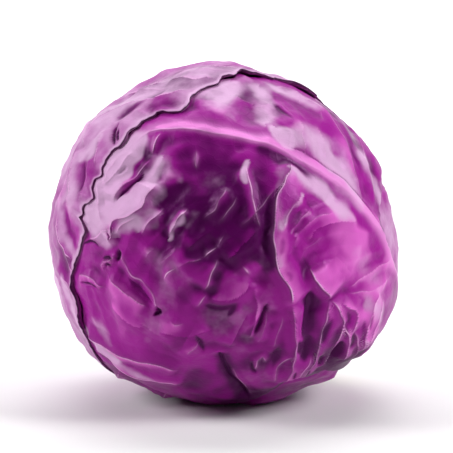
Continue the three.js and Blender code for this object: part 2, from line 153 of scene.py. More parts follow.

# Crests: (height, spread on the right hand, spread on the left hand, paleness, line). Hands are those
# of someone who walks along the line on the leaf, and spreads are in mm.
# A crest's paleness is part vein colour, part painted highlight, and its steep side gets painted shade.
FRONT_CRESTS = [
    # the long ridge below the midrib, and the veins beside it
    (2.3, 1.6, 5, 0.8, [290, 163, 286, 172, 281, 186, 276, 203, 273.5, 220, 272.5, 240, 275, 262.5, 281, 277,
     287.5, 287.5, 291, 302.5]),
    (1.6, 2, 4, 0.45, [291, 302.5, 293, 322.5, 293.8, 340, 293, 352, 287.5, 372, 281, 380]),
    (0.6, 3, 3, 0.25, [285.7, 172, 277.7, 187, 267, 200, 257.6, 210.7, 240, 228]),
    (1.1, 3, 1.2, 0.8, [246, 166, 249.6, 184, 250.9, 200, 254.9, 213.4, 258.9, 228]),
    (1.4, 2, 3, 0.35, [302, 196, 292.4, 204, 285.7, 214.7, 280.4, 229.5]),
    (1.1, 2, 2.4, 0.3, [311, 208, 297.8, 220, 289.7, 230.8]),
    (0.8, 2, 2.5, 0.2, [332, 212, 314, 219, 300, 231, 292, 246]),
    (0.6, 2, 2, 0.15, [324, 237, 309, 247, 298, 262]),
    (1, 4, 4, 0, [354, 221.4, 334, 222.8, 317.9, 229.5, 307, 242.9]),
    # the fan of folds at the lower right
    (2.4, 2, 6, 0.85, [309, 267.5, 312.5, 277.5, 319.5, 286, 325.5, 292.5, 329, 299]),
    (2, 2.5, 3, 0.6, [329, 299, 337, 310, 340, 320, 337, 332, 331, 346, 328, 354, 321.5, 362.5, 315, 366]),
    (1.7, 2.2, 3.4, 0.55, [329, 299, 323.5, 311, 321.5, 322.5, 316.5, 338.5, 312.5, 355, 303.5, 367.5,
     299, 374]),
    (1.6, 1.6, 2.4, 0.5, [338, 302, 347, 306, 353, 312, 350, 324, 345.5, 332]),
    (1.7, 1.6, 2, 0.6, [340, 322, 345, 336, 344.5, 346, 339, 360]),
    (1.4, 1.6, 2.4, 0.5, [352, 328, 355, 342, 351, 357]),
    (1, 1.4, 1.6, 0.5, [360, 334, 362, 347]),
    (1.5, 2, 3, 0.6, [377, 291, 370, 303, 365, 318, 360, 335.5, 357.5, 350]),
    (1, 1.6, 2, 0.4, [379, 298, 374, 314, 367, 332, 362, 345]),
    (0.6, 1.6, 1.6, 0.3, [347.5, 294, 360, 292.5, 375, 287.5, 386, 278]),
    (0.6, 1.6, 1.6, 0.3, [349, 287.5, 360, 280, 374, 270, 386, 258]),
    (1, 2, 2, 0.5, [308.5, 351.5, 302.5, 362, 294, 375]),
    (0.8, 1.2, 1.2, 0.5, [268, 362, 262, 356, 256, 360, 255, 370]),
    (1, 2, 2, 0.4, [292, 352, 284, 356, 276, 366, 272, 380]),
    # the pinched fold at the left
    (0.8, 5, 1.5, 0.45, [106, 275, 121.6, 287.6, 137, 299, 148.4, 306.7]),
    (0.6, 1.5, 4, 0.5, [119, 249.3, 124, 262, 131, 274.8, 143, 284, 155, 299, 160, 312]),
    (1.6, 1, 1, 1, [103, 272, 102, 265, 105, 260.5, 111, 261, 115.5, 256]),
    (1, 1, 1, 0.7, [108, 270, 109, 265.5, 113, 265]),
    (0.9, 1.2, 2.5, 0.8, [144.6, 258.3, 154.8, 249.3]),
    (1, 3, 1.8, 0.9, [162, 280, 169, 274, 177, 267]),
    (1, 2, 4, 0.2, [176, 267, 190, 262, 206, 254]),
    (1.2, 2, 4, 0.7, [202, 257, 210, 252, 218, 247]),
    (0.8, 2, 3, 0.3, [218, 247, 222, 240, 225, 235]),
    (1.4, 5, 2.6, 0.6, [217, 258, 215, 266, 210, 277, 204, 290]),
    (0.8, 3, 1.8, 0.6, [208, 294, 201, 301, 195, 307]),
    (1.2, 6, 2.4, 0, [252, 279, 246, 288, 239, 296, 228, 301, 210, 299]),
    (1.2, 2.4, 6, 0.1, [254, 282, 257, 300, 255, 320, 249, 340]),
    (1.2, 5, 2.4, 0, [259, 227, 248, 240, 236, 252, 226, 263]),
    (1, 3, 1.4, 0.5, [77, 274.8, 91, 277.4, 105, 287.6]),
    (1, 1.2, 1.2, 0.6, [86, 240, 96, 238, 104, 232, 110, 231, 112, 238]),
    # the pale wing by the ragged margin
    (2.2, 6, 1.3, 0.7, [157, 184, 154.8, 190, 148.4, 199.2, 144.6, 208.2, 131.8, 215.8, 117.8, 222.2,
     114, 228.6, 113.5, 238, 107.6, 243.6]),
    (1.2, 5, 1.4, 0.5, [149.7, 157.4, 141, 168, 130.8, 179.5, 120.6, 191, 114.6, 203.8]),
    (0.8, 4, 1.6, 0.3, [134, 150, 124, 164, 114, 178, 104, 186]),
    (0.6, 3, 1.4, 0.3, [118, 158, 108, 174, 103, 190]),
    (0.7, 1.4, 3, 0.2, [96, 184, 99, 200, 96, 214]),
    (1.1, 3, 1.2, 0.9, [162.4, 134.2, 154.8, 147, 151, 154.6]),
    (0.3, 1.2, 1.6, 1, [196.3, 149, 196.5, 158, 195.6, 168]),
    (1.8, 4, 1.2, 0.9, [187, 208, 184, 213.3, 175.2, 224.7, 167.5, 237]),
    (1.5, 4.5, 1.2, 0.7, [164, 208, 155, 218, 141, 234]),
    (1.3, 4, 1.2, 0.6, [140, 217, 128, 224, 117, 234]),
    (1.2, 1.6, 3.5, 0.4, [226, 186, 223.7, 191.6, 214.7, 208.2, 202, 219.6]),
    (1, 5, 3, 0, [214, 226, 200, 238, 186, 250]),
    (1, 5, 3, 0, [250, 310, 238, 330, 230, 350]),
    (0.7, 2.5, 1.4, 0.3, [236, 196, 229, 210, 218, 224]),
    (0.6, 1.4, 3, 0.3, [178, 246, 170, 256, 158, 264]),
    (0.7, 2.5, 1.4, 0.3, [268, 308, 264, 326, 256, 344]),
    (0.6, 2.5, 1.4, 0.25, [282, 312, 279, 330, 272, 348]),
    (0.6, 1.4, 3, 0.2, [140, 318, 156, 330, 176, 338]),
    (0.8, 1.5, 2.5, 0.8, [242, 266, 247, 271, 251, 275]),
    (0.8, 3, 5, 0, [196, 320, 188, 338, 176, 352]),
    (1, 3, 6, 0, [160, 330, 186, 334, 212, 330]),
    (0.7, 1.2, 1.2, 0.6, [232, 371, 243, 384, 253, 396]),
    (0.8, 2.5, 5, 0, [110, 300, 126, 318, 150, 326]),
    (0.6, 1.2, 1.2, 0.3, [100, 178, 101, 200, 103, 222]),
    (0.6, 1.5, 1.5, 0.5, [170, 318, 176, 322, 186, 322]),
    (1, 1.5, 3, 0.5, [189, 354, 194, 346, 198, 340]),
    # side veins above the midrib
    (0.6, 2, 2, 0.3, [296.4, 122, 303, 149, 304, 159]),
    (0.5, 2, 2, 0.3, [312, 126, 320, 140, 326, 160]),
    (0.5, 2.5, 2.5, 0.35, [316.5, 106.2, 325.9, 118.3, 332.6, 129, 345, 150, 356, 178, 361, 200]),
    (0.4, 1.4, 4, 0.25, [276, 86, 290, 88, 300, 97, 298, 104]),
    (0.4, 1.4, 4, 0.2, [302, 98, 314, 106, 320, 118, 318, 126]),
    (0.4, 1.6, 3, 0.25, [340, 112, 352, 128, 360, 146, 366, 168]),
    (0.8, 3, 3, 0.3, [232, 92, 246, 99, 262, 104, 272, 100]),
    # the two pale folds along the lower left
    (1.8, 3, 3, 0.9, [87.2, 332.2, 97.4, 338.6, 111.4, 346.3, 129.3, 355.2, 148.4, 358, 167.5, 364,
     179, 369]),
    (1.2, 2, 3, 0.8, [92, 346, 108, 357, 129.3, 370.5, 145.9, 375.6, 167.5, 378, 183, 383]),
]
# Broad folds and hollows: (height, width in mm, line of degrees along and across the midrib)
FRONT_FOLDS = [
    (1.7, 5, [115, 5, 113, 24, 100, 38, 84, 46, 59, 53, 41, 57]),
    (1, 4, [128, 2, 126, 14, 118, 27]),
    (1.4, 4.5, [93, 31, 80, 33]),
    (1.8, 4.5, [75, 33, 60, 35, 43, 33, 35, 34]),
    (1.6, 4, [76, 33, 66, 42, 50, 50]),
    (-2.2, 4, [70, 34, 56, 38, 44, 44]),
    (1.6, 4, [66, 28, 48, 29, 30, 25]),
    (-2, 3.6, [62, 31, 50, 31.5, 36, 29]),
    (1.3, 4, [60, 22, 50, 24, 35, 24]),
    (-0.8, 4, [176, 42, 167, 53, 158, 61]),
    (1.6, 4.5, [182, 48, 173, 54, 159, 59]),
    (1.3, 5, [155, 22, 162, 29, 173, 34]),
    (-1.2, 4, [160, 11, 166, 19, 172, 27]),
    (1.4, 4.5, [222, 56, 217, 65, 210, 72]),
    (-2, 4, [100, 70, 76, 74, 40, 72, 14, 63]),
    (-1.3, 4.5, [99, 46, 96, 53, 92, 60]),
    (0.9, 4, [126, -22, 116, -12, 108, -3]),
    (0.9, 4, [110, -31, 101, -21, 92, -5]),
]
# Furrows: (depth, width in mm, darkness of their painted shade, line)
FRONT_FURROWS = [
    # beside the long ridge, and in the fan of folds
    (1.6, 3.2, 0.4, [271, 196, 266.5, 220, 266.5, 242, 270.5, 262]),
    (1.5, 2.1, 0.2, [309, 284, 309, 303, 306, 323.5, 301, 344, 297, 362]),
    (1, 1.4, 0.75, [306.5, 291.5, 306, 305.5, 304, 321.5, 300, 338]),
    (0.4, 1, 0.4, [310.5, 290, 312, 303, 309, 320]),
    (1, 1.4, 0.7, [308.5, 331.5, 305, 345.5, 300, 360]),
    (1.8, 2, 0.8, [329, 313, 323.5, 328, 317.5, 343.5]),
    (2.2, 2, 1, [339.5, 338, 337, 348, 332, 357]),
    (1.6, 1.4, 0.8, [296.6, 336, 296.5, 352]),
    (1.4, 1.5, 0.8, [316.5, 352.5, 318.5, 358.5, 316, 362.5]),
    (0.8, 1.3, 0.7, [325, 308, 322.5, 322, 317.5, 337.5]),
    (0.8, 1.3, 0.7, [342, 316, 342, 328, 340, 339]),
    (1, 1.3, 0.9, [335, 350, 329, 359, 321.5, 365.5]),
    (0.8, 1.3, 0.7, [315, 344, 311, 357, 305, 366.5]),
    (1.2, 1.1, 0.8, [306.5, 363.5, 302.5, 373]),
    (1.2, 1.1, 0.7, [293, 366, 291, 374]),
    (1.4, 2, 0.8, [349, 330, 349.5, 338, 348, 347]),
    (0.6, 1.6, 0.15, [278, 344, 276, 356, 272, 368]),
    (1.1, 1.8, 0.2, [269, 298, 263, 315, 257, 330, 252, 339]),
    (0.8, 0.7, 0.6, [267.5, 300, 263.5, 314, 258.5, 327, 253, 336]),
    (1.2, 1.7, 0.45, [342, 306, 345, 315, 345, 326]),
    (1.2, 1.6, 0.6, [359, 316, 359, 332, 354.5, 344]),
    (1, 1.1, 0.6, [367, 310, 364, 328]),
    (1.6, 1.1, 0.9, [284, 381, 292, 377, 298, 378]),
    (0.6, 1.6, 0.3, [280.5, 237, 280, 247, 278, 256]),
    (0.5, 1.4, 0.25, [284, 270, 288, 275, 287, 281]),
    (0.9, 3, 0.4, [294, 204, 289, 214, 286, 230]),
    (0.6, 2.2, 0.4, [304, 217, 298, 226, 291, 236]),
    (0.6, 2.4, 0.2, [327, 248, 315, 254, 306, 261, 303, 272, 303, 286]),
    (0.5, 3.4, 0.1, [262, 268, 258, 290, 262, 306]),
    # the pinched fold
    (0.5, 2.4, 0.2, [117, 264, 123, 275, 132, 285, 142, 296, 154, 309]),
    (0.6, 0.8, 0.35, [126, 275, 135, 285, 146, 296, 156, 306]),
    (1.4, 1, 1, [157.5, 306, 159.5, 312, 154, 314.5]),
    (1.6, 1.3, 0.9, [118.5, 249, 119, 256, 117, 262]),
    (1, 0.8, 1, [101, 258, 108.9, 257.6, 114, 260]),
    (1, 0.9, 1, [105.5, 266, 109, 263.5, 112, 266.5]),
    (1, 0.7, 1, [80.8, 243.6, 88.5, 241.3, 94.8, 243.2, 97.5, 248]),
    (0.8, 0.7, 0.8, [110, 231, 112.5, 237, 109, 243]),
    (0.7, 0.8, 0.6, [80.8, 281.2, 92, 285, 100, 289.5]),
    # the lower crack and the dents near it
    (2.2, 1.2, 1.3, [218.7, 354, 222.8, 366, 229.5, 378, 240.2, 388.7, 249.6, 398]),
    (0.8, 1.6, 0.3, [202, 302, 212, 306.5, 226, 307, 243, 300]),
    (0.6, 1.4, 0.4, [236, 304, 232, 310, 228, 317]),
    (0.7, 1.1, 0.5, [195, 332, 201, 343, 204, 354]),
    (0.7, 0.8, 0.6, [251, 361, 252.5, 368, 257, 372]),
    (0.6, 5, 0.15, [196, 318, 186, 334, 178, 350]),
    # a broad dip along the underside, darkened with painted shade
    (3.2, 7, 0.9, [252, 404, 285, 394, 315, 382, 342, 370]),
    # above the midrib and by the ragged margin
    (0.5, 1.2, 0.3, [272.3, 101, 283, 113, 293.7, 125]),
    (0.5, 0.8, 0.35, [285, 147, 296, 150, 317, 161, 336, 174, 352, 188, 366, 208, 384, 238]),
    (1.2, 0.8, 0.9, [389, 318, 386, 326]),
    (0.8, 1.3, 0.7, [383, 186, 386, 198, 385.5, 205, 388.5, 214, 390, 228, 391.5, 240, 393, 258]),
    (0.7, 2.6, 0.35, [157, 182, 163, 172, 165, 162]),
    (0.6, 0.9, 0.4, [128, 166, 117.8, 176.3]),
    (0.8, 0.8, 0.6, [144, 170, 141, 176, 132.3, 184, 124, 193, 117, 204]),
    (0.6, 3, 0.3, [152, 138, 147, 152, 140, 166, 128, 184]),
    (1, 3.6, 0.3, [187, 182, 170, 200, 160, 210]),
    (0.9, 3, 0.3, [163, 238, 172, 216, 181, 203]),
    (1, 3.4, 0.4, [192, 236, 204, 218, 212, 204]),
    (1, 3.6, 0.3, [180, 262, 205, 248, 228, 236]),
    (1, 3.4, 0.35, [222, 270, 214, 286, 210, 298]),
]
# The back leaf's crests, the slit beside the torn lobe of its margin, and folds that sink beside ridges
BACK_CRESTS = [
    (1.4, 2.2, 4, 0.7, [79.5, 148.2, 73.2, 164.8, 69.3, 190.3, 69.3, 207]),
    (1, 2, 4, 0.6, [154.8, 94.6, 135, 101, 116.5, 110, 99, 122, 83.4, 147]),
    (0.9, 2, 4, 0.4, [120, 97, 146, 88, 162, 79]),
    (0.8, 2, 4, 0.4, [168, 78, 195, 80, 215, 79]),
    (1.1, 2, 4, 0.7, [60, 214, 62, 240, 70, 262]),
    (1, 2, 4, 0.6, [54, 262, 62, 288, 73, 318]),
    (0.8, 2, 4, 0.4, [92, 158, 85, 180, 80, 203]),
    (0.8, 2, 4, 0.4, [196, 67, 230, 70, 262, 70]),
    (0.7, 2, 4, 0.4, [105, 130, 99, 148, 95, 168]),
    (0.8, 2, 3, 0.5, [150, 98, 168, 96, 186, 88]),
    (0.6, 1.6, 3, 0.4, [62, 205, 64, 180, 72, 158, 84, 138]),
    (0.6, 1.4, 1.4, 0.5, [66, 262, 74, 272, 80, 276]),
    (0.6, 1.4, 1.4, 0.5, [60, 272, 70, 286, 76, 296]),
]
BACK_FURROWS = [
    (1.6, 0.8, 1, [120.5, 122.5, 115.5, 129, 113.6, 138, 114.6, 146]),
    (1.2, 0.8, 1, [119.5, 129, 117.5, 136, 118.5, 141]),
    (0.6, 3, 0.1, [84, 160, 80, 180, 76, 200]),
    (0.8, 3, 0.3, [66, 210, 68, 228, 76, 246]),
    (0.6, 2.6, 0.1, [140, 104, 128, 112, 112, 124]),
    (0.8, 2.6, 0.25, [165, 86, 150, 94, 138, 99]),
]

# Where a leaf's tone is lighter or darker, or it wears more or less pale wax: (radius in mm, change, line).
# Part of this is the leaf's own tone and wax, and part is painted: painted highlights and painted shade.
PATCHES = {
    # Besides the leaf's own tone, these hold painted shade, as in the dark middle and along the underside.
    ("outer_leaf_front", "vivid"): [
        (16, 0.42, [352, 235, 368, 262, 372, 285]), (9, 0.25, [335, 212, 350, 232]),
        (9, 0.2, [292, 178, 330, 198]), (10, 0.25, [300, 140, 325, 150, 352, 172]),
        (5, 0.2, [322, 256, 336, 268]), (8, 0.05, [150, 120, 200, 112, 235, 122]),
        (6, 0.25, [305, 248, 309, 260]), (22, 0.06, [120, 330, 170, 350]),
        (16, -0.3, [185, 205, 225, 205, 250, 205]), (9, -0.1, [180, 160, 240, 165]),
        (12, -0.25, [205, 245, 250, 245]), (4, -0.35, [265, 205, 264, 245, 270, 262]),
        (5, -0.2, [278, 236, 284, 262]), (10, -0.12, [215, 300, 240, 330]),
        (7, -0.25, [300, 350, 312, 354, 335, 352]), (9, -0.5, [318, 374, 340, 364, 358, 352]),
        (5, -0.2, [306, 304, 305, 325]), (4, 0.2, [362, 312, 366, 335]), (5, -0.2, [320, 330, 316, 346]),
        (9, -0.15, [250, 365, 285, 345]), (12, -0.15, [200, 385, 250, 390]),
        (3, -0.25, [262, 150, 285, 163, 308, 177, 328, 190, 343, 204, 356, 220, 368, 238, 378, 256]),
        (2.4, 0.5, [160, 128, 200, 127, 227, 132, 245, 136, 267, 143, 294, 155, 314, 166, 334, 179, 351, 194,
         364, 210, 376, 225]),
        (3.5, 0.4, [163, 168, 172, 176]), (4, 0.25, [125, 280, 140, 293, 152, 304]),
        (5, 0.1, [284, 308, 286, 335]), (3, 0.3, [277, 215, 278, 240, 281, 264]),
        # the last one here is painted shade along the underside
        (2, -0.3, [296, 214, 288, 228]), (8, -0.5, [235, 400, 270, 393, 305, 380, 345, 366]),
        (4, 0.2, [165, 322, 186, 325]), (6, 0.15, [215, 285, 238, 288]), (5, 0.15, [250, 300, 244, 325]),
        (4, -0.08, [210, 262, 200, 284]), (4, 0.3, [259, 270, 261, 284]), (8, -0.22, [214, 216, 232, 204]),
        (14, -0.08, [190, 315, 240, 325]), (3, 0.3, [136, 158, 124, 186]), (8, -0.1, [240, 370, 262, 380]),
        (4, 0.25, [212, 100, 228, 118, 250, 128]), (3, 0.2, [90, 222, 104, 226]),
        (6, -0.22, [322, 100, 340, 122, 352, 140]), (3, -0.15, [270, 100, 284, 118, 292, 126]),
        (5, -0.15, [200, 108, 222, 120, 250, 126]), (9, -0.22, [200, 94, 235, 86, 270, 86]),
        (4, 0.2, [200, 352, 210, 372]), (6, 0.15, [110, 300, 118, 330]), (6, 0.2, [386, 262, 388, 292]),
    ],
    # Many of these are painted highlights: the pale patches above and below the midrib and on the facets
    # below it.
    ("outer_leaf_front", "bloom"): [
        (9, 1.1, [136, 146, 117, 170, 104, 200, 96, 214]), (7, 0.7, [156, 170, 140, 200, 114, 218]),
        (1.8, -0.45, [150, 136, 143, 156, 131, 180, 121, 198]), (2.5, -0.5, [86, 220, 99, 219, 114, 212]),
        (6, 0.9, [121, 152, 107, 172, 98, 196, 88, 216]), (4, 0.5, [92, 218, 100, 236, 114, 238]),
        (3, 0.45, [122, 231, 138, 222]), (3, 0.4, [143, 230, 160, 217]), (1.8, 0.6, [169, 236, 182, 214]),
        (3, 0.15, [186, 224, 203, 214]), (3, 0.25, [164, 160, 170, 172, 178, 180]),
        (1.8, 0.7, [248, 163, 244, 170, 246, 182]), (4, 0.8, [277, 132, 285, 145]),
        (7, 0.65, [292, 140, 312, 142, 324, 158]), (5, 0.5, [330, 160, 346, 178, 356, 200]),
        (6, 0.4, [228, 84, 222, 100, 231, 112]), (5, 0.45, [262, 90, 267, 104, 266, 120]),
        (8, 0.32, [205, 90, 240, 84, 268, 84]), (4, 0.6, [295, 176, 310, 186, 328, 196]),
        (3.5, 0.45, [328, 204, 350, 220]), (2.6, 0.5, [284, 170, 276, 188]),
        (2.4, 0.4, [279, 196, 278, 210, 278, 226]), (2, 0.2, [277, 225, 277, 245, 279, 264]),
        (4, 0.3, [95, 320, 112, 340]), (1.6, 0.55, [301, 198, 290, 207, 283, 222]),
        (1.4, 0.4, [309, 213, 298, 220, 290, 233]), (4, 0.9, [86, 334, 98, 345, 116, 356]),
        (2.4, 0.4, [100, 351, 126, 366, 156, 377]), (5, 0.15, [150, 255, 190, 275]),
        # the first one here takes the wax away along the underside, as painted shade
        (9, -0.6, [262, 396, 300, 384, 340, 366, 356, 354]), (8, 0.2, [170, 300, 150, 330]),
        (7, 0.15, [262, 300, 245, 320]), (11, 0.08, [190, 310, 235, 312, 245, 345]),
        (9, 0.15, [375, 300, 385, 280]), (8, 0.22, [335, 150, 348, 176, 362, 205]),
        (4, 0.15, [352, 150, 362, 176, 372, 205]), (4, 0.1, [328, 258, 318, 266]),
        (6, 0.45, [278, 88, 296, 96, 312, 106]), (7, 0.45, [326, 104, 344, 126, 360, 152]),
        (5, 0.5, [362, 160, 374, 184, 384, 210]), (4, 0.4, [366, 302, 376, 318]),
        (8, 0.15, [360, 250, 370, 280]),
    ],
    ("outer_leaf_back", "vivid"): [
        (4, 0.3, [66, 172, 62, 200]), (4, 0.25, [68, 208, 72, 226, 78, 238]),
        (4, -0.05, [140, 104, 126, 112]), (3, 0.25, [152, 98, 168, 94]), (3, -0.2, [150, 84, 138, 90]),
        (4, 0.2, [70, 240, 74, 262]), (11, -0.3, [120, 108, 160, 85, 225, 72]),
    ],
    ("outer_leaf_back", "bloom"): [
        (20, 0.1, [50, 300, 50, 215, 80, 142, 135, 98, 200, 72, 262, 68]), (12, 0.2, [100, 118, 135, 98]),
        (8, 0.15, [68, 200, 66, 235]), (4, -0.35, [135, 92, 150, 85]), (5, -0.3, [86, 160, 80, 180]),
        (4, -0.4, [66, 208, 70, 225, 76, 240]), (5, -0.3, [63, 250, 68, 275]),
        (5, -0.25, [150, 108, 170, 104]), (3, -0.35, [60, 175, 56, 200]), (3, -0.3, [140, 103, 122, 114]),
        (3, -0.3, [215, 66, 245, 68]),
        (6, 0.25, [46, 300, 45, 250, 50, 215, 57, 185, 67, 160, 80, 142, 96, 124]),
        (3.5, 0.4, [84, 158, 92, 150, 100, 138]), (3, 0.4, [64, 280, 76, 312, 84, 332]),
    ],
}

# ------------------------------------------------------------------ outlines of the leaves
# (bearing, reach) in degrees from the leaf's middle; bearing 180 points at the stalk.

BACK_HIDDEN = [
    (-170, 82), (-160, 78), (-150, 76.5), (-141, 79.5), (-130, 78), (-120, 82.5), (-110, 82),
    (-99, 88), (-88, 90), (-78, 95), (83, 90), (90, 88), (96, 91), (103, 89), (111, 90), (121, 87),
    (131, 84), (141, 83.5), (150, 78.5), (160, 77.5), (170, 82),
]
FRONT_OUTLINE = [
    (-171, 71.5), (-166, 66.5), (-159, 62.5), (-153, 63.5), (-148, 70), (-142, 84), (-134, 90),
    (-125, 95), (-107, 94), (-93, 88), (-79, 81), (-64, 71), (-50, 63), (-31, 63), (-8, 61), (8, 64),
    (22, 69), (34, 75), (46, 80), (56, 77.5), (65, 71), (74, 69.5), (84, 74), (96, 83),
    (107, 85), (114, 78), (123, 68), (131, 60.5), (138, 65), (144, 68), (149, 84), (153, 104),
    (160, 106.5), (167, 102), (174, 93), (-178, 81),
]


# ------------------------------------------------------------------ small helpers

def unit(vectors):
    return vectors / np.linalg.norm(vectors, axis=-1, keepdims=True)


def smooth(x, low, high):
    t = np.clip((x - low) / (high - low), 0.0, 1.0)
    return t * t * (3.0 - 2.0 * t)


def bell(x, width):
    return np.exp(-((x / width) ** 2))


def leaf_shaped(part):
    """Width along a stroke: widest in its middle, narrow at both ends."""
    return 0.3 + 0.7 * np.sin(math.pi * np.clip(part, 0.02, 0.98)) ** 0.7


def ripple(points, wavelength, seed):
    """Smooth seeded unevenness, mostly between -1 and 1, with waves of about that length."""
    chance = np.random.default_rng(seed)
    waves = unit(chance.normal(size=(RIPPLE_WAVES, 3))) * 2 * math.pi / wavelength
    waves *= chance.uniform(0.7, 1.4, (RIPPLE_WAVES, 1))
    starts = chance.uniform(0, 2 * math.pi, RIPPLE_WAVES)
    return np.sin(points @ waves.T + starts).sum(axis=1) / 3.2


def cell_depth(x, y, seed):
    """How far inside its cell of an uneven grid each point lies: 0 at a border, about 1 in the middle."""
    nearest = np.full(len(x), NO_LINE)
    second = np.full(len(x), NO_LINE)
    for shift in range(9):
        column = np.floor(x) + shift // 3 - 1
        row = np.floor(y) + shift % 3 - 1
        draw_x, draw_y = [np.modf(np.abs(np.sin(column * a + row * b + seed) * c))[0]
                          for a, b, c in CELL_SCRAMBLE]
        away = np.hypot(column + 0.1 + 0.8 * draw_x - x, row + 0.1 + 0.8 * draw_y - y)
        second = np.minimum(second, np.maximum(nearest, away))
        nearest = np.minimum(nearest, away)
    return second - nearest


# ------------------------------------------------------------------ the head and its camera

def envelope(d):
    """The head's radius in mm at directions."""
    ring = np.hypot(d[:, 0], d[:, 2])
    bearing = np.arctan2(d[:, 2], d[:, 0])
    radius = np.full(len(d), HEAD_RADIUS)
    for count, height, crest in SWELLINGS:
        radius += height * ring ** count * np.cos(count * bearing - math.radians(crest))
    return radius


def camera_axes():
    """The picture's right, its up, and the way to the camera, as unit vectors of the frame."""
    tilt = math.radians(CAMERA_ELEVATION)
    return (np.array([1.0, 0.0, 0.0]), np.array([0.0, math.sin(tilt), math.cos(tilt)]),
            np.array([0.0, -math.cos(tilt), math.sin(tilt)]))


def camera_aim():
    """The picture's middle, in mm from the head's centre."""
    right, up, _ = camera_axes()
    middle = IMAGE_SIZE / 2
    return right * (middle - HEAD_PIXEL[0]) * PIXEL + up * (HEAD_PIXEL[1] - middle) * PIXEL


def through_pixels(pixels, raised=0.0):
    """Directions from the head's centre to where the camera's rays through pixels meet the head, or a
    surface raised above it by some mm."""
    right, up, toward = camera_axes()
    eye = camera_aim() + toward * CAMERA_DISTANCE
    x, y = np.reshape(pixels, (-1, 2)).T[:, :, None]
    rays = unit(right * ((x - HEAD_PIXEL[0]) * PIXEL) + up * ((HEAD_PIXEL[1] - y) * PIXEL) - eye)
    radius = np.full(len(rays), HEAD_RADIUS)
    for _ in range(6):
        ahead = -rays @ eye
        reach = ahead ** 2 - (eye @ eye - radius ** 2)
        hits = unit(eye + rays * (ahead - np.sqrt(np.maximum(reach, 0.0)))[:, None])
        radius = envelope(hits) + raised
    return hits


def rounded(points, step=2.0):
    """A smooth path on the head through directions, as points in mm, a step apart."""
    points = points * HEAD_RADIUS
    ends = np.vstack([2 * points[0] - points[1], points, 2 * points[-1] - points[-2]])
    path = []
    for k in range(1, len(ends) - 2):
        before, start, end, after = ends[k - 1:k + 3]
        count = max(1, int(np.linalg.norm(end - start) / step))
        for t in np.arange(count) / count:
            path.append(0.5 * (2 * start + (end - before) * t
                               + (2 * before - 5 * start + 4 * end - after) * t * t
                               + (3 * start - before - 3 * end + after) * t ** 3))
    path.append(points[-1])
    return unit(np.array(path)) * HEAD_RADIUS


def beside_path(points, path, within):
    """The points near a path: their indices, signed distances (right hand positive), the distance
    back from there to the path's nearer end, and the part of the path behind them."""
    middle = path.mean(axis=0)
    span = np.linalg.norm(path - middle, axis=1).max() + within
    picked = np.flatnonzero(np.linalg.norm(points - middle, axis=1) < span)
    near = points[picked]
    best = np.full(len(near), np.inf)
    side = np.zeros(len(near))
    along = np.zeros(len(near))
    length = 0.0
    for start, end in zip(path[:-1], path[1:]):
        step = end - start
        size = np.linalg.norm(step)
        if size < 1e-6:
            continue
        t = np.clip((near - start) @ step / size ** 2, 0.0, 1.0)
        off = near - start - t[:, None] * step
        away = np.linalg.norm(off, axis=1)
        closer = away < best
        best = np.where(closer, away, best)
        side = np.where(closer, np.sign(off @ np.cross(step, start)), side)
        along = np.where(closer, length + t * size, along)
        length += size
    kept = best < within
    along = along[kept]
    return picked[kept], (best * side)[kept], np.minimum(along, length - along), along / length


# ------------------------------------------------------------------ leaves

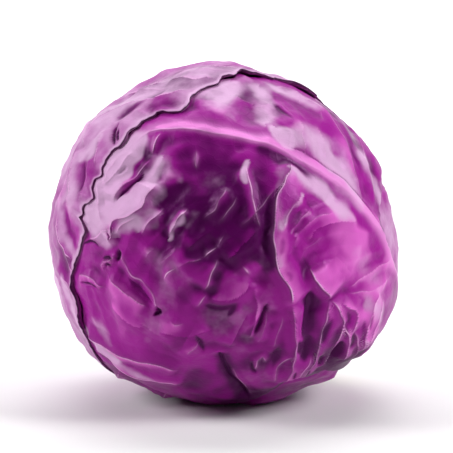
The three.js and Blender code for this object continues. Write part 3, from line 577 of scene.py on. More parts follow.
class Leaf:
    """One wrapper leaf: its place in the spiral, its outline, its own directions and its tints. Its hollow
    shade says how much painted shade darkens its hollows and lowers their tone."""

    def __init__(self, name, turn, along, across, cells, outline, vivid, bloom, gather=0.3,
                 fine_reach=180, hollow_shade=(0.1, 0.12)):
        self.name = name
        self.turn = turn
        self.cells = cells
        self.gather = gather
        self.fine_reach = fine_reach
        self.tints = {"vivid": vivid, "bloom": bloom}
        self.hollow_shade = hollow_shade
        stalk = unit(STALK_DIRECTION)
        first = unit(FIRST_MIDRIB - stalk * (FIRST_MIDRIB @ stalk))
        angle = math.radians(turn * LEAF_TURN)
        self.stalk = stalk
        self.rib = first * math.cos(angle) + np.cross(stalk, first) * math.sin(angle)
        self.side = np.cross(stalk, self.rib)
        self.middle = self.from_rib((along, across))[0]
        lean = math.radians(along)
        self.outward = self.rib * math.cos(lean) - stalk * math.sin(lean)
        self.sideways = np.cross(self.middle, self.outward)
        self.outline = outline(self) if callable(outline) else outline
        self.set_margin()

    def from_rib(self, places):
        """Directions at degrees along the midrib from the stalk and degrees across it, in turn."""
        a, b = np.radians(np.reshape(places, (-1, 2))).T[:, :, None]
        return np.cos(b) * (np.cos(a) * self.stalk + np.sin(a) * self.rib) + np.sin(b) * self.side

    def to_rib(self, d):
        """Degrees along the midrib from the stalk, and across it."""
        a = np.degrees(np.arctan2(d @ self.rib, d @ self.stalk)) % 360
        return a, np.degrees(np.arcsin(np.clip(d @ self.side, -1, 1)))

    def to_polar(self, d):
        """Bearing and reach from the leaf's middle."""
        bearing = np.degrees(np.arctan2(d @ self.sideways, d @ self.outward))
        return bearing, np.degrees(np.arccos(np.clip(d @ self.middle, -1, 1)))

    def from_polar(self, bearing, reach):
        bearing, reach = np.radians(bearing)[:, None], np.radians(reach)[:, None]
        round_it = np.cos(bearing) * self.outward + np.sin(bearing) * self.sideways
        return np.cos(reach) * self.middle + np.sin(reach) * round_it

    def set_margin(self):
        """A fine table of the margin's reach, with small seeded nicks between the outline's points."""
        points = np.array(sorted(self.outline))
        self.table = np.arange(-180.0, 180.0, 0.5)
        reach = np.interp(self.table, points[:, 0], points[:, 1], period=360)
        around = self.from_polar(self.table, reach) * HEAD_RADIUS
        nicks = 0.3 * ripple(around, 7.0, 50 + self.turn) + 0.2 * ripple(around, 2.6, 60 + self.turn)
        self.reach = reach + nicks

    def margin(self, bearing):
        return np.interp(bearing, self.table, self.reach, period=360)

    def past_margin(self, d):
        """Distance in mm out to the margin: negative on the leaf."""
        bearing, reach = self.to_polar(d)
        slant = (self.margin(bearing + 2) - self.margin(bearing - 2)) / 4
        straight = np.radians(reach - self.margin(bearing)) * HEAD_RADIUS
        return straight / np.hypot(1.0, slant / np.maximum(np.sin(np.radians(reach)), 0.3))


def crack_outline(leaf):
    """The back leaf's outline: the ragged margin that shows, and the rest behind the head."""
    bearing, reach = leaf.to_polar(through_pixels(CRACK))
    return list(zip(bearing, reach)) + BACK_HIDDEN


def round_outline(blade, tab, waves):
    """A round blade with a waved margin and a notch down to a tab at the stalk."""
    points = []
    for bearing in range(-180, 180, 5):
        notch = bell((bearing + 360) % 360 - 180, 24)
        wave = 2.2 * math.sin(math.radians(waves * bearing)) + 1.3 * math.cos(math.radians(5 * bearing))
        points.append((bearing, blade + (tab - blade) * notch + wave * (1 - notch)))
    return points


# Leaves from the outermost in. `turn` counts along the spiral, `along` and `across` place the leaf's
# middle in degrees from the stalk and off the midrib, and `cells` divides its grid. The first tint goes from
# dark violet at 0 to pink at 1, its own tone with painted light and shade added on top, and the second is
# pale wax with painted highlights. The front leaf's grid is finer in its middle.
LEAVES = [
    Leaf("outer_leaf_back", turn=-1, along=95, across=0, cells=250, outline=crack_outline,
         vivid=0.42, bloom=0.32),
    Leaf("outer_leaf_front", turn=0, along=128, across=34, cells=300, outline=FRONT_OUTLINE,
         vivid=0.42, bloom=0.05, gather=0.88, fine_reach=84, hollow_shade=(0.35, 0.22)),
    Leaf("outer_leaf_underside", turn=1, along=85, across=0, cells=180,
         outline=round_outline(88, 85 - TAB_START, waves=7), vivid=0.3, bloom=0.05),
    Leaf("outer_leaf_top_right", turn=2, along=85, across=0, cells=180,
         outline=round_outline(92, 85 - TAB_START, waves=8), vivid=0.5, bloom=0.3),
    Leaf("outer_leaf_base", turn=3, along=60, across=0, cells=160,
         outline=round_outline(80, 60 - TAB_START, waves=6), vivid=0.4, bloom=0.3),
]
BACK, FRONT = LEAVES[:2]


def blade_thickness(d, past, shape):
    """Thickest at the stalk, thinnest at the margin."""
    off_stalk = np.degrees(np.arccos(np.clip(d @ unit(STALK_DIRECTION), -1, 1)))
    full = shape.blade_thickness / METRES + BASE_EXTRA * (1 - smooth(off_stalk, *BASE_REACH))
    return full + (MARGIN_BLADE - full) * smooth(past, -MARGIN_THINS, 0)


def under_leaves(layer, d, shape):
    """How far a leaf lies below the head's surface, and how much of its relief shows there."""
    depth = np.zeros(len(d))
    shown = np.ones(len(d))
    for above in LEAVES[:layer]:
        past = above.past_margin(d)
        cover = 1 - smooth(past, MARGIN_LIP, MARGIN_LIP + MARGIN_FADE)
        depth += cover * (shape.leaf_gap / METRES + blade_thickness(d, past, shape))
        depth += shown * RELIEF_ROOM * smooth(-past, 0, RELIEF_FADE)
        shown *= 1 - cover
    return depth, shown


# ------------------------------------------------------------------ relief

class Relief:
    """Heights and tints of a leaf, gathered line by line at its points. The tints hold painted shade in
    hollows, furrows and on the steep sides of crests, and painted light on their gentle sides.
    """

    def __init__(self, leaf, d):
        self.leaf = leaf
        self.points = d * HEAD_RADIUS
        self.height, self.pale, self.deep, self.sharp, self.bright = np.zeros((5, len(d)))
        self.line = np.full(len(d), NO_LINE)
        self.wander = WANDER * ripple(self.points, 9.0, 7 + leaf.turn)

    @staticmethod
    def raise_tint(values, picked, least):
        values[picked] = np.maximum(values[picked], least)

    def mark(self, picked, side, strength):
        """A hairline that the material draws: pale where the strength is above 0, part vein colour and part
        painted highlight on a crest; dark below, painted shade in a narrow slit.
        """
        closer = np.abs(side) < np.abs(self.line[picked])
        near = picked[closer]
        self.line[near] = side[closer]
        self.sharp[near] = (strength * (1 - smooth(np.abs(side), *HAIRLINE_REACH)))[closer]

    def crest(self, path, height, right, left, pale, rise=4.0):
        """A raised line with a sharp top: it falls off over `right` and `left` on its two sides. Its steeper
        side gets painted shade and its gentler side painted light.
        """
        picked, side, to_end, _ = beside_path(self.points, path, STROKE_REACH * max(right, left))
        side = side + self.wander[picked]
        taper = smooth(to_end, -0.5, min(rise, 1.0 + 0.8 * to_end.max(initial=0.0)))
        fall = np.where(side > 0, right, left)
        off_top = np.hypot(side, CREST_ROUNDING) - CREST_ROUNDING
        down = np.clip(off_top / (STROKE_REACH * fall), 0.0, 1.0)
        self.height[picked] += 1.2 * height * taper * (1 - down) ** CREST_STEEPNESS
        drop = np.exp(-np.abs(side) / (1.3 * fall))
        steep = (side > 0) == (right < left)
        # painted shade on the steeper side, then painted light on the gentler side and more painted shade on
        # the steeper
        self.raise_tint(self.deep, picked, 0.2 * height * taper * np.where(steep, drop, 0.0))
        self.bright[picked] += 0.1 * height * taper * np.where(steep, -drop, drop)
        # a pale band and a pale hairline along the top: part paler vein colour, part painted highlight
        self.raise_tint(self.pale, picked, 0.25 * pale * taper * bell(side, 1.0))
        self.mark(picked, side, pale * taper)

    def fold(self, path, height, width):
        """A broad swell, or a hollow where the height is negative."""
        picked, side, to_end, _ = beside_path(self.points, path, STROKE_REACH * width)
        self.height[picked] += height * smooth(to_end, -0.5 * width, 1.5 * width) * bell(side, width)

    def creases(self, height, length, seed):
        """Sharp creases in every direction, with smooth hollows between them."""
        self.height += height * (0.7 - np.abs(ripple(self.points, length, seed)))

    def furrow(self, path, depth, width, shade):
        """A dent that narrows to both ends. It is darkened with painted shade, and a narrow one also gets a
        dark hairline of painted shade.
        """
        picked, side, to_end, part = beside_path(self.points, path, FURROW_REACH * width)
        taper = smooth(to_end, -0.4 * width, min(6.0, 0.5 + 0.5 * to_end.max(initial=0.0)))
        side = side + 0.5 * self.wander[picked]
        narrow = width * leaf_shaped(part)
        self.height[picked] -= depth * taper * bell(side, narrow)
        # painted shade in the dent
        self.raise_tint(self.deep, picked, shade * taper * bell(side, 0.7 * narrow))
        if width <= HAIRLINE_FURROW:
            self.mark(picked, side, -shade * taper)

    def strokes(self, crests, furrows):
        """The crests and furrows that the camera places."""
        for height, right, left, pale, line in crests:
            self.crest(rounded(through_pixels(line)), height, right, left, pale)
        for depth, width, shade, line in furrows:
            self.furrow(rounded(through_pixels(line)), depth, width, shade)

    def midrib(self, path, thick, thin):
        """The midrib from its thin end to the stalk: a broad back, steeper on the right hand."""
        picked, side, to_end, part = beside_path(self.points, path, 16.0)
        grow = smooth(part, 0.0, 0.9)
        height = thin + (thick - thin) * grow
        back = 1.6 + 2.4 * grow
        fall = np.where(side > 0, 0.8 * back, 1.5 * back)
        taper = smooth(to_end, 0, 14)
        self.height[picked] += taper * height * bell(side, fall)
        self.height[picked] -= taper * 0.15 * height * bell(side - 2.4 * back, 1.1 * back)
        glow = np.where(side < 0, bell(side, 5.5 - 2.5 * grow), bell(side, 0.8 + 2.2 * grow))
        self.raise_tint(self.pale, picked, taper * (0.62 + 0.2 * grow) * glow)
        self.mark(picked, side, 0.5 * taper * (1 - grow))

    def side_veins(self, count, height):
        """Veins that leave the midrib on both sides and sweep towards the tip, with their twigs."""
        chance = np.random.default_rng(31 + self.leaf.turn)
        for hand in (-1, 1):
            for k in range(count):
                start = 22 + (k + 0.5 * (hand > 0)) * 130 / count + chance.uniform(-3, 3)
                reach = chance.uniform(52, 68) * (1 - 0.25 * k / count)
                across = np.linspace(0.5, reach, 7)
                drift = np.cumsum(chance.uniform(-1.2, 1.2, 7))
                along = start + 0.9 * across - 0.004 * across ** 2 + drift
                line = np.column_stack([along, hand * across])
                fade = height * (1 - 0.4 * k / count)
                self.crest(rounded(self.leaf.from_rib(line), 4.0), fade, 2.2, 2.2, 0.55, rise=14.0)
                for root in line[2:6]:
                    if chance.random() < 0.35:
                        continue
                    turn = chance.choice([-1.0, 1.0])
                    ahead = np.array([[0, 0], [6 + 3 * turn, 4 * hand], [11 + 8 * turn, 11 * hand]])
                    branch = rounded(self.leaf.from_rib(root + ahead * chance.uniform(0.8, 1.4)), 4.0)
                    self.crest(branch, 0.5 * fade, 1.4, 1.4, 0.35, rise=9.0)

    def puckers(self, height, length, width):
        """The blade sinks between its veins, in cells drawn out along the side veins."""
        leaf = self.leaf
        d = self.points / HEAD_RADIUS
        a, b = leaf.to_rib(d)
        warp = 2.2 * ripple(self.points, 26.0, 3 + leaf.turn)
        swept = a - 0.9 * np.abs(b) + warp
        ribwise = cell_depth(swept / width, (b + 1.5 * warp) / length, leaf.turn)
        bearing, reach = leaf.to_polar(d)
        flat_x = reach * np.cos(np.radians(bearing)) + 1.5 * warp
        flat_y = reach * np.sin(np.radians(bearing)) - warp
        round_cells = cell_depth(flat_x / length, flat_y / width, leaf.turn + 5)
        near_pole = smooth(np.abs(b), 42, 58)
        inside = ribwise * (1 - near_pole) + round_cells * near_pole
        self.height -= height * (1 - np.exp(-inside / 0.3)) * smooth(np.abs(b), 2, 9)

    def streaks(self, height, across, along):
        """Sharp-topped creases that run with the side veins."""
        leaf = self.leaf
        a, b = leaf.to_rib(self.points / HEAD_RADIUS)
        swept = a - 0.9 * np.abs(b) + 2.5 * ripple(self.points, 30.0, 13 + leaf.turn)
        field = ripple(np.column_stack([swept / across, b / along, 0 * a]), 1.0, 17 + leaf.turn)
        by_midrib = smooth(np.abs(b), 2, 9)
        self.height += height * (0.7 - np.abs(field)) * by_midrib * (1 - smooth(np.abs(b), 52, 70))


def front_relief(leaf, d):
    relief = Relief(leaf, d)
    hidden_rib = leaf.from_rib([50, 2.5, 40, 2, 28, 1, 17, 0])
    rib = rounded(np.vstack([through_pixels(RIB_LINE, RIB_RAISED), hidden_rib]))
    relief.midrib(rib, thick=1.7, thin=0.6)
    for height, width, line in FRONT_FOLDS:
        relief.fold(rounded(leaf.from_rib(line)), height, width)
    relief.strokes(FRONT_CRESTS, FRONT_FURROWS)
    for height, across, along in ((0.45, 24, 70), (0.2, 11, 40)):
        relief.streaks(height, across, along)
    for height, length, seed in ((0.5, 34, 3), (0.1, 14, 4)):
        relief.creases(height, length, seed)
    return relief


def plain_relief(leaf, d, sunk=0.5):
    relief = Relief(leaf, d)
    rib = leaf.from_rib([172, 0, 150, 1, 120, -1, 90, 1, 60, 0, 40, 0, 25, 0, 16, 0])
    relief.midrib(rounded(rib), thick=3.0, thin=0.8)
    relief.side_veins(count=8, height=0.8)
    relief.puckers(height=sunk, length=16, width=10)
    relief.creases(height=0.6, length=40, seed=5 + leaf.turn)
    return relief


def back_relief(leaf, d):
    relief = plain_relief(leaf, d, sunk=0.12)
    for height, length, seed in ((0.7, 34, 9), (0.25, 12, 10)):
        relief.creases(height, length, seed)
    relief.strokes(BACK_CRESTS, BACK_FURROWS)
    return relief


def crumple(points, seed):
    """Broad and fine unevenness that every blade has."""
    broad = 0.8 * ripple(points, 44.0, seed) + 0.35 * ripple(points, 24.0, seed + 1)
    return broad + 0.10 * ripple(points, 10.0, seed + 2) + 0.03 * ripple(points, 5.0, seed + 3)


def lifts(leaf, d, past):
    """How far the margin stands off the leaf below: in waves, and more at the wide parts of the crack."""
    bearing = np.radians(leaf.to_polar(d)[0])
    wave = 0.45 + 0.25 * np.sin(11 * bearing) + 0.2 * np.sin(19 * bearing + 1) + 0.1 * np.sin(37 * bearing)
    raised = RUFFLE_HEIGHT * wave * bell(past, RUFFLE_WIDTH)
    if leaf is BACK:
        for pixel, radius, height in CRACK_LIFTS:
            away = np.linalg.norm(d - through_pixels(pixel)[0], axis=1) * HEAD_RADIUS
            raised += height * bell(away, radius) * bell(past, CRACK_WIDTH)
    return raised


def leaf_surface(layer, d, shape):
    """The outer face's radius in mm at directions, and its tints."""
    leaf = LEAVES[layer]
    relief = {BACK: back_relief, FRONT: front_relief}.get(leaf, plain_relief)(leaf, d)
    depth, shown = under_leaves(layer, d, shape)
    past = leaf.past_margin(d)
    height = relief.height * shape.relief + crumple(relief.points, 20 + leaf.turn)
    limit = np.where(height < 0, RELIEF_ROOM, RELIEF_TOP)
    height = limit * np.tanh(height / limit)
    height = height * smooth(-past, 0, RELIEF_FADE) + lifts(leaf, d, past)
    radius = envelope(d) + height * shown
    down = np.minimum(d[:, 2], -1e-6)
    radius = np.where(d[:, 2] < 0, np.minimum(radius, CENTRE_HEIGHT / -down), radius)
    tints = {"pale": relief.pale, "deep": relief.deep, "line": relief.line, "sharp": relief.sharp}
    for tint, start in leaf.tints.items():
        tints[tint] = np.full(len(d), start)
        for spot, change, line in PATCHES.get((leaf.name, tint), ()):
            path = rounded(through_pixels(line))
            picked, side, _, part = beside_path(relief.points, path, PATCH_REACH * spot)
            away = np.abs(side + 2.0 * relief.wander[picked]) / spot / (0.5 + 0.5 * leaf_shaped(part))
            tints[tint][picked] += change * (1 - smooth(away, 0.0, PATCH_REACH))
    # painted shade in low parts and painted light on raised parts, and the crests' painted light and shade on
    # their sides
    tints["vivid"] += 0.03 * np.clip(relief.height, -2.0, 1.5) + np.clip(relief.bright, -0.25, 0.3)
    # a pale band along the back leaf's margin: a painted highlight on its rounded edge
    tints["bloom"] += 0.3 * bell(past, 1.3) * (leaf is BACK)
    return radius - depth, tints


# ------------------------------------------------------------------ meshes

def blurred(grid, reach):
    """The grid averaged over a square of cells round each point, twice."""
    for axis in (0, 1, 0, 1):
        border = [(reach, reach) if k == axis else (0, 0) for k in (0, 1)]
        padded = np.pad(grid, border, mode="edge")
        grid = np.lib.stride_tricks.sliding_window_view(padded, 2 * reach + 1, axis=axis).mean(axis=-1)
    return grid


def square_to_disc(u, v):
    """Points of the square from -1 to 1, moved to the unit disc as (radius, bearing in degrees)."""
    wide = np.abs(u) >= np.abs(v)
    safe_u = np.where(u == 0, 1e-9, u)
    safe_v = np.where(v == 0, 1e-9, v)
    bearing = np.where(wide, 45 * v / safe_u + 180 * (u < 0), 90 - 45 * u / safe_v + 180 * (v < 0))
    return np.where(wide, np.abs(u), np.abs(v)), (bearing + 180) % 360 - 180


def leaf_grid(leaf, size):
    """Directions of a square grid laid on the leaf, rows one after another."""
    line = np.linspace(-1, 1, size + 1)
    u, v = [part.ravel() for part in np.meshgrid(line, line)]
    part, bearing = square_to_disc(u, v)
    margin = leaf.margin(bearing)
    fine = np.minimum(margin, leaf.fine_reach)
    gathered = np.arcsin(leaf.gather * part) / math.asin(leaf.gather)
    return leaf.from_polar(bearing, gathered * fine + part ** 6 * (margin - fine))


def grid_faces(size, start, flip=False):
    column, row = np.meshgrid(np.arange(size), np.arange(size))
    p = (row * (size + 1) + column).ravel() + start
    quads = np.column_stack([p, p + 1, p + size + 2, p + size + 1])
    return quads[:, ::-1] if flip else quads


def grid_rim(size, start):
    """The grid's outer vertices in order round it."""
    i = np.arange(size)
    bottom, right = i, i * (size + 1) + size
    top, left = size * (size + 1) + size - i, (size - i) * (size + 1)
    return np.concatenate([bottom, right, top, left]) + start


def rim_faces(rim, edge, inner_rim):
    """Faces from the outer face's rim over the edge to the inner face's coarser rim."""
    after = np.roll(edge, -1)
    steps = np.arange(len(edge))
    within = steps % INNER_STEP
    under = inner_rim[steps // INNER_STEP]
    ahead = inner_rim[(steps // INNER_STEP + 1) % len(inner_rim)]
    fans = np.column_stack([edge, np.where(within < INNER_STEP // 2, under, ahead), after])
    bridges = np.column_stack([edge, under, ahead])[within == INNER_STEP // 2]
    quads = np.column_stack([rim, edge, after, np.roll(rim, -1)])
    return quads.tolist() + fans.tolist() + bridges.tolist()


def leaf_mesh(layer, shape):
    """Vertices in mm from the head's centre, faces and tints of a leaf: a fine outer face, a coarser
    inner face that stays under it, and a rounded margin between them."""
    leaf = LEAVES[layer]
    size = leaf.cells // 1 // (2 * INNER_STEP) * 2 * INNER_STEP
    outer = leaf_grid(leaf, size)
    radius, tints = leaf_surface(layer, outer, shape)
    grid = radius.reshape(size + 1, size + 1)
    hollow = (blurred(grid, size // BLUR_SHARE) - grid).ravel()
    darkest, dimmest = leaf.hollow_shade
    # painted shade: hollows darker and lower in tone, raised parts a little lighter
    tints["deep"] = np.maximum(tints["deep"], darkest * smooth(hollow, *HOLLOW_DEPTHS))
    tints["vivid"] += dimmest * np.clip(-hollow, -1.0, 1.0)
    padded = np.pad(grid, INNER_STEP, mode="edge")
    window = np.lib.stride_tricks.sliding_window_view(padded, (2 * INNER_STEP + 1, 2 * INNER_STEP + 1))
    lowest = window[::INNER_STEP, ::INNER_STEP].min(axis=(2, 3)).ravel()
    inner = outer.reshape(size + 1, size + 1, 3)[::INNER_STEP, ::INNER_STEP].reshape(-1, 3)
    inner_radius = lowest - blade_thickness(inner, leaf.past_margin(inner), shape)
    rim = grid_rim(size, 0)
    bearing, reach = leaf.to_polar(outer[rim])
    edge = leaf.from_polar(bearing, reach + EDGE_OUT)
    radii = np.concatenate([radius, radius[rim] - 0.5 * MARGIN_BLADE, inner_radius])
    vertices = np.vstack([outer, edge, inner]) * radii[:, None]
    edge_start, inner_start = len(outer), len(outer) + len(edge)
    coarse = size // INNER_STEP
    faces = grid_faces(size, 0).tolist() + grid_faces(coarse, inner_start, flip=True).tolist()
    faces += rim_faces(rim, np.arange(edge_start, inner_start), grid_rim(coarse, inner_start))
    hidden = len(vertices) - len(outer)
    tints = {name: np.append(values, np.full(hidden, values.mean())) for name, values in tints.items()}
    # the rounded margin's vertices are painted near black: painted shade for the shadowed gap under the edge
    tints["margin"] = np.zeros(len(vertices))
    tints["margin"][edge_start:inner_start] = 1.0
    return vertices, faces, tints


def stalk_mesh(sides):
    """Vertices in mm from the head's centre, faces and tint of the stalk, turned round its axis."""
    axis = unit(STALK_DIRECTION)
    level = unit(np.cross(axis, [0.0, 0.0, 1.0]))
    upward = np.cross(level, axis)
    turn = np.arange(sides) / sides * 2 * math.pi
    ring = np.cos(turn)[:, None] * level + np.sin(turn)[:, None] * upward
    ridges = 1 + 0.02 * np.sin(5 * turn + 0.4) + 0.008 * np.sin(23 * turn)
    vertices = [axis * STALK_PROFILE[0][1]]
    skin = [0.0]
    for radius, height in STALK_PROFILE[1:-1]:
        saw_marks = 0.12 * np.sin(0.9 * radius * np.sin(turn) + 0.8) * (height > SAW_MARKS_FROM)
        vertices.extend(ring * (radius * ridges)[:, None] + axis * (height + saw_marks)[:, None])
        skin.extend([0.0 if height > SKIN_UP_TO else 1.0] * sides)
    vertices.append(axis * STALK_PROFILE[-1][1])
    skin.append(0.0)
    last = len(vertices) - 1
    starts = range(1, last, sides)
    faces = []
    for k in range(sides):
        after = (k + 1) % sides
        faces.append((0, 1 + k, 1 + after))
        for low, high in zip(starts, starts[1:]):
            faces.append((low + k, high + k, high + after, low + after))
        faces.append((last, starts[-1] + after, starts[-1] + k))
    return np.array(vertices), faces, {"skin": np.array(skin)}


def add_object(name, data):
    item = bpy.data.objects.new(name, data)
    bpy.context.scene.collection.objects.link(item)
    return item


def aim_at(item, place, direction):
    """Puts a light or a camera in its place, looking along a direction."""
    item.location = place
    item.rotation_euler = Vector(direction).to_track_quat("-Z", "Y").to_euler()


def add_mesh(name, vertices, faces, tints, material):
    """A smooth mesh object at the origin, from vertices in mm round the head's centre."""
    mesh = bpy.data.meshes.new(name)
    placed = (vertices + np.array([0.0, 0.0, CENTRE_HEIGHT])) * METRES
    mesh.from_pydata(placed.tolist(), [], faces)
    mesh.validate()
    for tint, values in tints.items():
        layer = mesh.attributes.new(tint, "FLOAT", "POINT")
        layer.data.foreach_set("value", values.astype(np.float32))
    mesh.shade_smooth()
    mesh.materials.append(material)
    return add_object(name, mesh)


# ------------------------------------------------------------------ materials

class Nodes:
    """Short calls for building one material's nodes."""

    def __init__(self, name):
        self.material = bpy.data.materials.new(name)
        self.material.use_nodes = True
        self.tree = self.material.node_tree

    def feed(self, node, inputs):
        """Links each named input to a socket, or sets it to a number or a colour."""
        for key, value in inputs.items():
            if isinstance(value, bpy.types.NodeSocket):
                self.tree.links.new(value, node.inputs[key])
            elif isinstance(value, (int, float)):
                node.inputs[key].default_value = value
            else:
                node.inputs[key].default_value = (*value, 1.0)
        return node

    def add(self, kind, inputs, **settings):
        node = self.tree.nodes.new(kind)
        for key, value in settings.items():
            setattr(node, key, value)
        return self.feed(node, inputs)

    def finish(self, inputs):
        self.feed(self.tree.nodes["Principled BSDF"], inputs)
        return self.material

    def tint(self, name):
        return self.add("ShaderNodeAttribute", {}, attribute_name=name).outputs["Fac"]

    def place(self):
        return self.add("ShaderNodeTexCoord", {}).outputs["Object"]

    def noise(self, scale, detail=3.0, roughness=0.5):
        inputs = {"Vector": self.place(), "Scale": scale, "Detail": detail, "Roughness": roughness}
        return self.add("ShaderNodeTexNoise", inputs).outputs["Fac"]

    def math(self, operation, *values):
        """A sum, product or other result of one value or more, taken two at a time."""
        result = values[0]
        for value in values[1:] or (0.0,):
            result = self.add("ShaderNodeMath", {0: result, 1: value}, operation=operation).outputs[0]
        return result

    def between(self, value, low, high, out_low=0.0, out_high=1.0):
        inputs = {"Value": value, "From Min": low, "From Max": high, "To Min": out_low, "To Max": out_high}
        return self.add("ShaderNodeMapRange", inputs, interpolation_type="SMOOTHSTEP").outputs["Result"]

    def blend(self, part, first, second):
        return self.add("ShaderNodeMix", {0: part, 6: first, 7: second}, data_type="RGBA").outputs[2]

    def bump(self, strength, distance, **inputs):
        inputs.update(Strength=strength, Distance=distance)
        return self.add("ShaderNodeBump", inputs).outputs["Normal"]


def leaf_material(name, colours):
    """A waxy leaf: mottled violet and magenta, pale on its veins, with painted highlights in pale patches and
    on crests, and painted shade in its pits and folds and on its margin.
    """
    nodes = Nodes(name)
    deep = nodes.tint("deep")
    off_line = nodes.math("ABSOLUTE", nodes.tint("line"))
    # the blade, from violet over magenta to pink, darkened where painted shade lies
    uneven = nodes.math("MULTIPLY", nodes.math("SUBTRACT", nodes.noise(30.0, 3.0, 0.55), 0.5), 0.6)
    light = nodes.math("ADD", uneven, nodes.tint("vivid"), nodes.math("MULTIPLY", deep, -0.32))
    blade = nodes.blend(nodes.between(light, 0.1, 0.5), colours.violet, colours.magenta)
    blade = nodes.blend(nodes.between(light, 0.55, 1.0), blade, colours.pink)
    # wax with its painted highlights, veins, and the painted shade of the pits over it
    patchy = nodes.math("SUBTRACT", nodes.noise(45.0, 4.0, 0.6), 0.5)
    # painted shade also takes the wax away
    wax = nodes.math("ADD", patchy, nodes.tint("bloom"), nodes.math("MULTIPLY", deep, -0.8))
    blade = nodes.blend(nodes.between(wax, 0.1, 0.7, 0.0, 0.92), blade, colours.bloom)
    blade = nodes.blend(nodes.math("MULTIPLY", nodes.tint("pale"), 0.75), blade, colours.vein)
    blade = nodes.blend(deep, blade, colours.shade_colour)
    # hairlines, broken up along their length: the pale ones part vein colour, part painted highlight, the
    # dark ones painted shade
    broken = nodes.between(nodes.noise(110.0, 2.0), 0.3, 0.62, 0.2, 1.0)
    thin = nodes.between(off_line, 0.05, 0.5, 1.0, 0.0)
    hairline = nodes.math("MULTIPLY", nodes.tint("sharp"), broken, thin)
    blade = nodes.blend(nodes.between(hairline, 0.0, 0.9), blade, colours.ridge)
    blade = nodes.blend(nodes.between(hairline, 0.0, -1.0, 0.0, 1.0), blade, colours.shade_colour)
    # the rounded margin in near black: painted shade
    blade = nodes.blend(nodes.tint("margin"), blade, colours.margin)
    rough = nodes.between(nodes.noise(120.0, 4.0, 0.6), 0.3, 0.7, 0.34, 0.48)
    dull = nodes.math("ADD", rough, nodes.math("MULTIPLY", deep, 0.15))
    # relief too fine for the mesh: grain, a net of small veins, and the hairlines
    grain = nodes.bump(0.25, 0.00012, Height=nodes.noise(900.0, 2.0, 0.5))
    net = nodes.add("ShaderNodeTexVoronoi", {"Scale": 260.0, "Vector": nodes.place()},
                    feature="DISTANCE_TO_EDGE").outputs["Distance"]
    veined = nodes.bump(0.25, 0.00015, Height=nodes.between(net, 0.0, 0.12, 1.0, 0.0), Normal=grain)
    ridge = nodes.math("MULTIPLY", nodes.tint("sharp"), nodes.between(off_line, 0.0, 1.0, 1.0, 0.0))
    return nodes.finish({
        "Base Color": blade, "Roughness": dull, "Specular IOR Level": 0.28,
        "Specular Tint": (1.0, 0.32, 0.94), "Coat Weight": 0.03, "Coat Roughness": 0.3,
        "Normal": nodes.bump(1.0, 0.0004, Height=ridge, Normal=veined)})


def heart_material(colours):
    nodes = Nodes("inner leaves")
    mottle = nodes.between(nodes.noise(60.0, 4.0, 0.6), 0.35, 0.7)
    return nodes.finish({"Base Color": nodes.blend(mottle, colours.violet, colours.bloom), "Roughness": 0.55})


def stalk_material(colours):
    """Cut stalk: cream pith with fibres and brown stains, and a violet-grey skin."""
    nodes = Nodes("cut stalk")
    fibres = nodes.between(nodes.noise(700.0, 3.0, 0.7), 0.35, 0.7)
    pith = nodes.blend(fibres, colours.pith, (0.52, 0.42, 0.25))
    stained = nodes.math("MULTIPLY", nodes.between(nodes.noise(150.0, 4.0, 0.6), 0.45, 0.75), 0.7)
    pith = nodes.blend(stained, pith, (0.33, 0.20, 0.12))
    skin = nodes.blend(fibres, (0.42, 0.26, 0.36), (0.60, 0.47, 0.50))
    return nodes.finish({"Base Color": nodes.blend(nodes.tint("skin"), pith, skin), "Roughness": 0.75,
                         "Normal": nodes.bump(0.5, 0.0004, Height=fibres)})


def pale_material(name, colour):
    return Nodes(name).finish({"Base Color": colour, "Roughness": 0.9, "Specular IOR Level": 0.1})


# ------------------------------------------------------------------ what a user can change

def colour_choice(name, description, default):
    return FloatVectorProperty(name=name, description=description, default=default, subtype="COLOR",
                               min=0, max=1)


class CabbageShape(bpy.types.PropertyGroup):
    blade_thickness: FloatProperty(
        name="Blade", description="Thickness of a leaf blade", default=0.0009, min=0.0006, max=0.0015,
        unit="LENGTH", precision=4)
    leaf_gap: FloatProperty(
        name="Gap", description="Clearance between one leaf and the next", default=0.0004, min=0.0001,
        max=0.001, unit="LENGTH", precision=4)
    relief: FloatProperty(
        name="Relief", description="Strength of the ribs, folds and puckers", default=1.15, min=0.0,
        max=2.0, subtype="FACTOR")
    stalk_sides: IntProperty(
        name="Stalk sides", description="How finely the stalk is divided round its axis", default=144,
        min=24, max=360)


class CabbageColours(bpy.types.PropertyGroup):
    violet: colour_choice("Violet", "The darker colour of the blades", (0.082, 0.0005, 0.076))
    magenta: colour_choice("Magenta", "The brighter colour of the blades", (0.34, 0.010, 0.28))
    pink: colour_choice("Pink", "The brightest colour of the blades", (0.72, 0.13, 0.58))
    # wax on the blades, and also the colour of painted highlights in pale patches
    bloom: colour_choice("Bloom", "The pale wax on the blades", (0.71, 0.43, 0.68))
    # also the pale band on crests, which is part painted highlight
    vein: colour_choice("Veins", "The pale colour of ribs and crests", (0.86, 0.36, 0.76))
    # the hairlines on thin ridges: part vein colour, part painted highlight
    ridge: colour_choice("Ridges", "The colour of the thin bright ridges", (0.88, 0.46, 0.80))
    # painted shade: the colour that stands for shade in folds, pits, slits and hollows
    shade_colour: colour_choice("Pits", "The colour deep in the folds", (0.05, 0.001, 0.05))
    # painted shade: near black on the leaves' rounded edges, for the shadow in the gap under them
    margin: colour_choice("Margins", "The colour of the leaves' cut edges", (0.02, 0.002, 0.022))
    pith: colour_choice("Pith", "The colour of the cut stalk", (0.72, 0.62, 0.42))


class CabbageStage(bpy.types.PropertyGroup):
    light: FloatProperty(
        name="Light", description="Strength of the studio lights", default=1.0, min=0.1, max=4.0,
        subtype="FACTOR")
    ground: colour_choice("Ground", "The colour of the floor and the backdrop", (0.86, 0.86, 0.86))


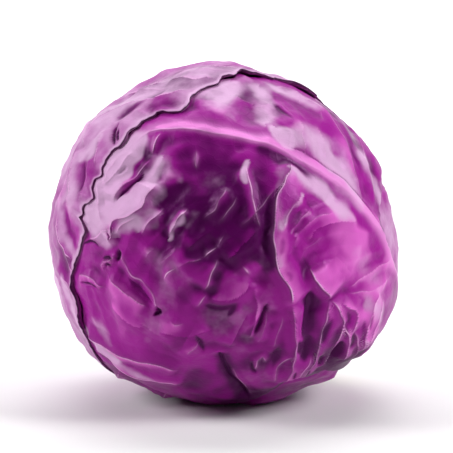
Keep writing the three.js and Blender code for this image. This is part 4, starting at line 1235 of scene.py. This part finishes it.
# ------------------------------------------------------------------ pieces

def make_leaf(layer, material_name):
    leaf = LEAVES[layer]
    scene = bpy.context.scene
    material = leaf_material(material_name, scene.cabbage_colours)
    piece = add_mesh(leaf.name + "_dressed", *leaf_mesh(layer, scene.cabbage_shape), material)
    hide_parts(leaf.name)
    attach(piece, "root")


class CABBAGE_OT_back_leaf(bpy.types.Operator):
    """Make the outermost leaf, with its ragged free margin"""
    bl_idname = "cabbage.back_leaf"
    bl_label = "Back leaf"

    def execute(self, context):
        make_leaf(0, "back leaf")
        return {"FINISHED"}


class CABBAGE_OT_front_leaf(bpy.types.Operator):
    """Make the leaf with the pale midrib, the fan of folds and the pinched fold"""
    bl_idname = "cabbage.front_leaf"
    bl_label = "Front leaf"

    def execute(self, context):
        make_leaf(1, "front leaf")
        return {"FINISHED"}


class CABBAGE_OT_inner_wrappers(bpy.types.Operator):
    """Make the three wrapper leaves that show at the underside, the right and the base"""
    bl_idname = "cabbage.inner_wrappers"
    bl_label = "Inner wrapper leaves"

    def execute(self, context):
        for layer in (2, 3, 4):
            make_leaf(layer, LEAVES[layer].name.replace("_", " "))
        return {"FINISHED"}


class CABBAGE_OT_heart(bpy.types.Operator):
    """Give the heart of tight inner leaves its finish"""
    bl_idname = "cabbage.heart"
    bl_label = "Heart"

    def execute(self, context):
        material = heart_material(context.scene.cabbage_colours)
        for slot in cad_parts["heart"].material_slots:
            slot.material = material
        return {"FINISHED"}


class CABBAGE_OT_stalk(bpy.types.Operator):
    """Make the cut stalk with its fibrous face and ridged side"""
    bl_idname = "cabbage.stalk"
    bl_label = "Stalk"

    def execute(self, context):
        scene = context.scene
        material = stalk_material(scene.cabbage_colours)
        piece = add_mesh("stalk_dressed", *stalk_mesh(scene.cabbage_shape.stalk_sides), material)
        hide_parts("stalk")
        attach(piece, "root")
        return {"FINISHED"}


def make_sweep(ground):
    """The floor and the backdrop, in one bent sheet."""
    outline = [(SWEEP_FRONT, 0.0), (SWEEP_DEPTH, 0.0)]
    for step in range(1, SWEEP_STEPS + 1):
        turn = step / SWEEP_STEPS * math.pi / 2
        outline.append((SWEEP_DEPTH + SWEEP_BEND * math.sin(turn), SWEEP_BEND - SWEEP_BEND * math.cos(turn)))
    outline.append((SWEEP_DEPTH + SWEEP_BEND, SWEEP_TOP))
    mesh = bpy.data.meshes.new("sweep")
    vertices = [(x, y, z) for y, z in outline for x in (-SWEEP_HALF_WIDTH, SWEEP_HALF_WIDTH)]
    faces = [(2 * k, 2 * k + 1, 2 * k + 3, 2 * k + 2) for k in range(len(outline) - 1)]
    mesh.from_pydata(vertices, [], faces)
    mesh.shade_smooth()
    mesh.materials.append(pale_material("pale paper", ground))
    sweep = add_object("sweep", mesh)


def make_lights(scene):
    for name, place, aim, width, height, watts, spread in LIGHTS:
        lamp = bpy.data.lights.new(name, "AREA")
        lamp.shape = "RECTANGLE"
        lamp.size, lamp.size_y = width, height
        lamp.energy = watts * scene.cabbage_stage.light
        lamp.spread = math.radians(spread)
        aim_at(add_object(name, lamp), place, Vector(aim) - Vector(place))
    world = bpy.data.worlds.new("room")
    world.use_nodes = True
    background = world.node_tree.nodes["Background"]
    background.inputs["Color"].default_value = (1.0, 1.0, 1.0, 1.0)
    background.inputs["Strength"].default_value = ROOM_LIGHT
    scene.world = world


def make_camera(scene):
    lens = bpy.data.cameras.new("camera")
    lens.sensor_width = SENSOR_WIDTH
    lens.lens = SENSOR_WIDTH * CAMERA_DISTANCE / (IMAGE_SIZE * PIXEL)
    scene.camera = add_object("camera", lens)
    toward = camera_axes()[2]
    place = camera_aim() + toward * CAMERA_DISTANCE + np.array([0.0, 0.0, CENTRE_HEIGHT])
    aim_at(scene.camera, (place * METRES).tolist(), (-toward).tolist())


class CABBAGE_OT_stage(bpy.types.Operator):
    """Make the pale sweep, the soft lights and the camera"""
    bl_idname = "cabbage.stage"
    bl_label = "Stage"

    def execute(self, context):
        scene = context.scene
        scene.view_settings.view_transform = "Standard"
        make_sweep(scene.cabbage_stage.ground)
        make_lights(scene)
        make_camera(scene)
        return {"FINISHED"}


class CABBAGE_PT_panel(bpy.types.Panel):
    """The head's sizes, colours and pieces"""
    bl_idname = "CABBAGE_PT_panel"
    bl_label = "Red cabbage head"
    bl_space_type = "VIEW_3D"
    bl_region_type = "UI"
    bl_category = "Cabbage"

    def draw(self, context):
        scene = context.scene
        for group in (scene.cabbage_shape, scene.cabbage_colours, scene.cabbage_stage):
            box = self.layout.box()
            for name in group.__annotations__:
                box.prop(group, name)
        for operator in OPERATORS:
            self.layout.operator(operator.bl_idname)


OPERATORS = (CABBAGE_OT_stage, CABBAGE_OT_back_leaf, CABBAGE_OT_front_leaf, CABBAGE_OT_inner_wrappers,
             CABBAGE_OT_heart, CABBAGE_OT_stalk)
CLASSES = (CabbageShape, CabbageColours, CabbageStage) + OPERATORS + (CABBAGE_PT_panel,)


def register():
    for item in CLASSES:
        bpy.utils.register_class(item)
    bpy.types.Scene.cabbage_shape = PointerProperty(type=CabbageShape)
    bpy.types.Scene.cabbage_colours = PointerProperty(type=CabbageColours)
    bpy.types.Scene.cabbage_stage = PointerProperty(type=CabbageStage)


def unregister():
    del bpy.types.Scene.cabbage_stage
    del bpy.types.Scene.cabbage_colours
    del bpy.types.Scene.cabbage_shape
    for item in reversed(CLASSES):
        bpy.utils.unregister_class(item)


def main():
    register()
    bpy.ops.cabbage.stage()
    bpy.ops.cabbage.back_leaf()
    bpy.ops.cabbage.front_leaf()
    bpy.ops.cabbage.inner_wrappers()
    bpy.ops.cabbage.heart()
    bpy.ops.cabbage.stalk()


if __name__ == "__main__":
    main()
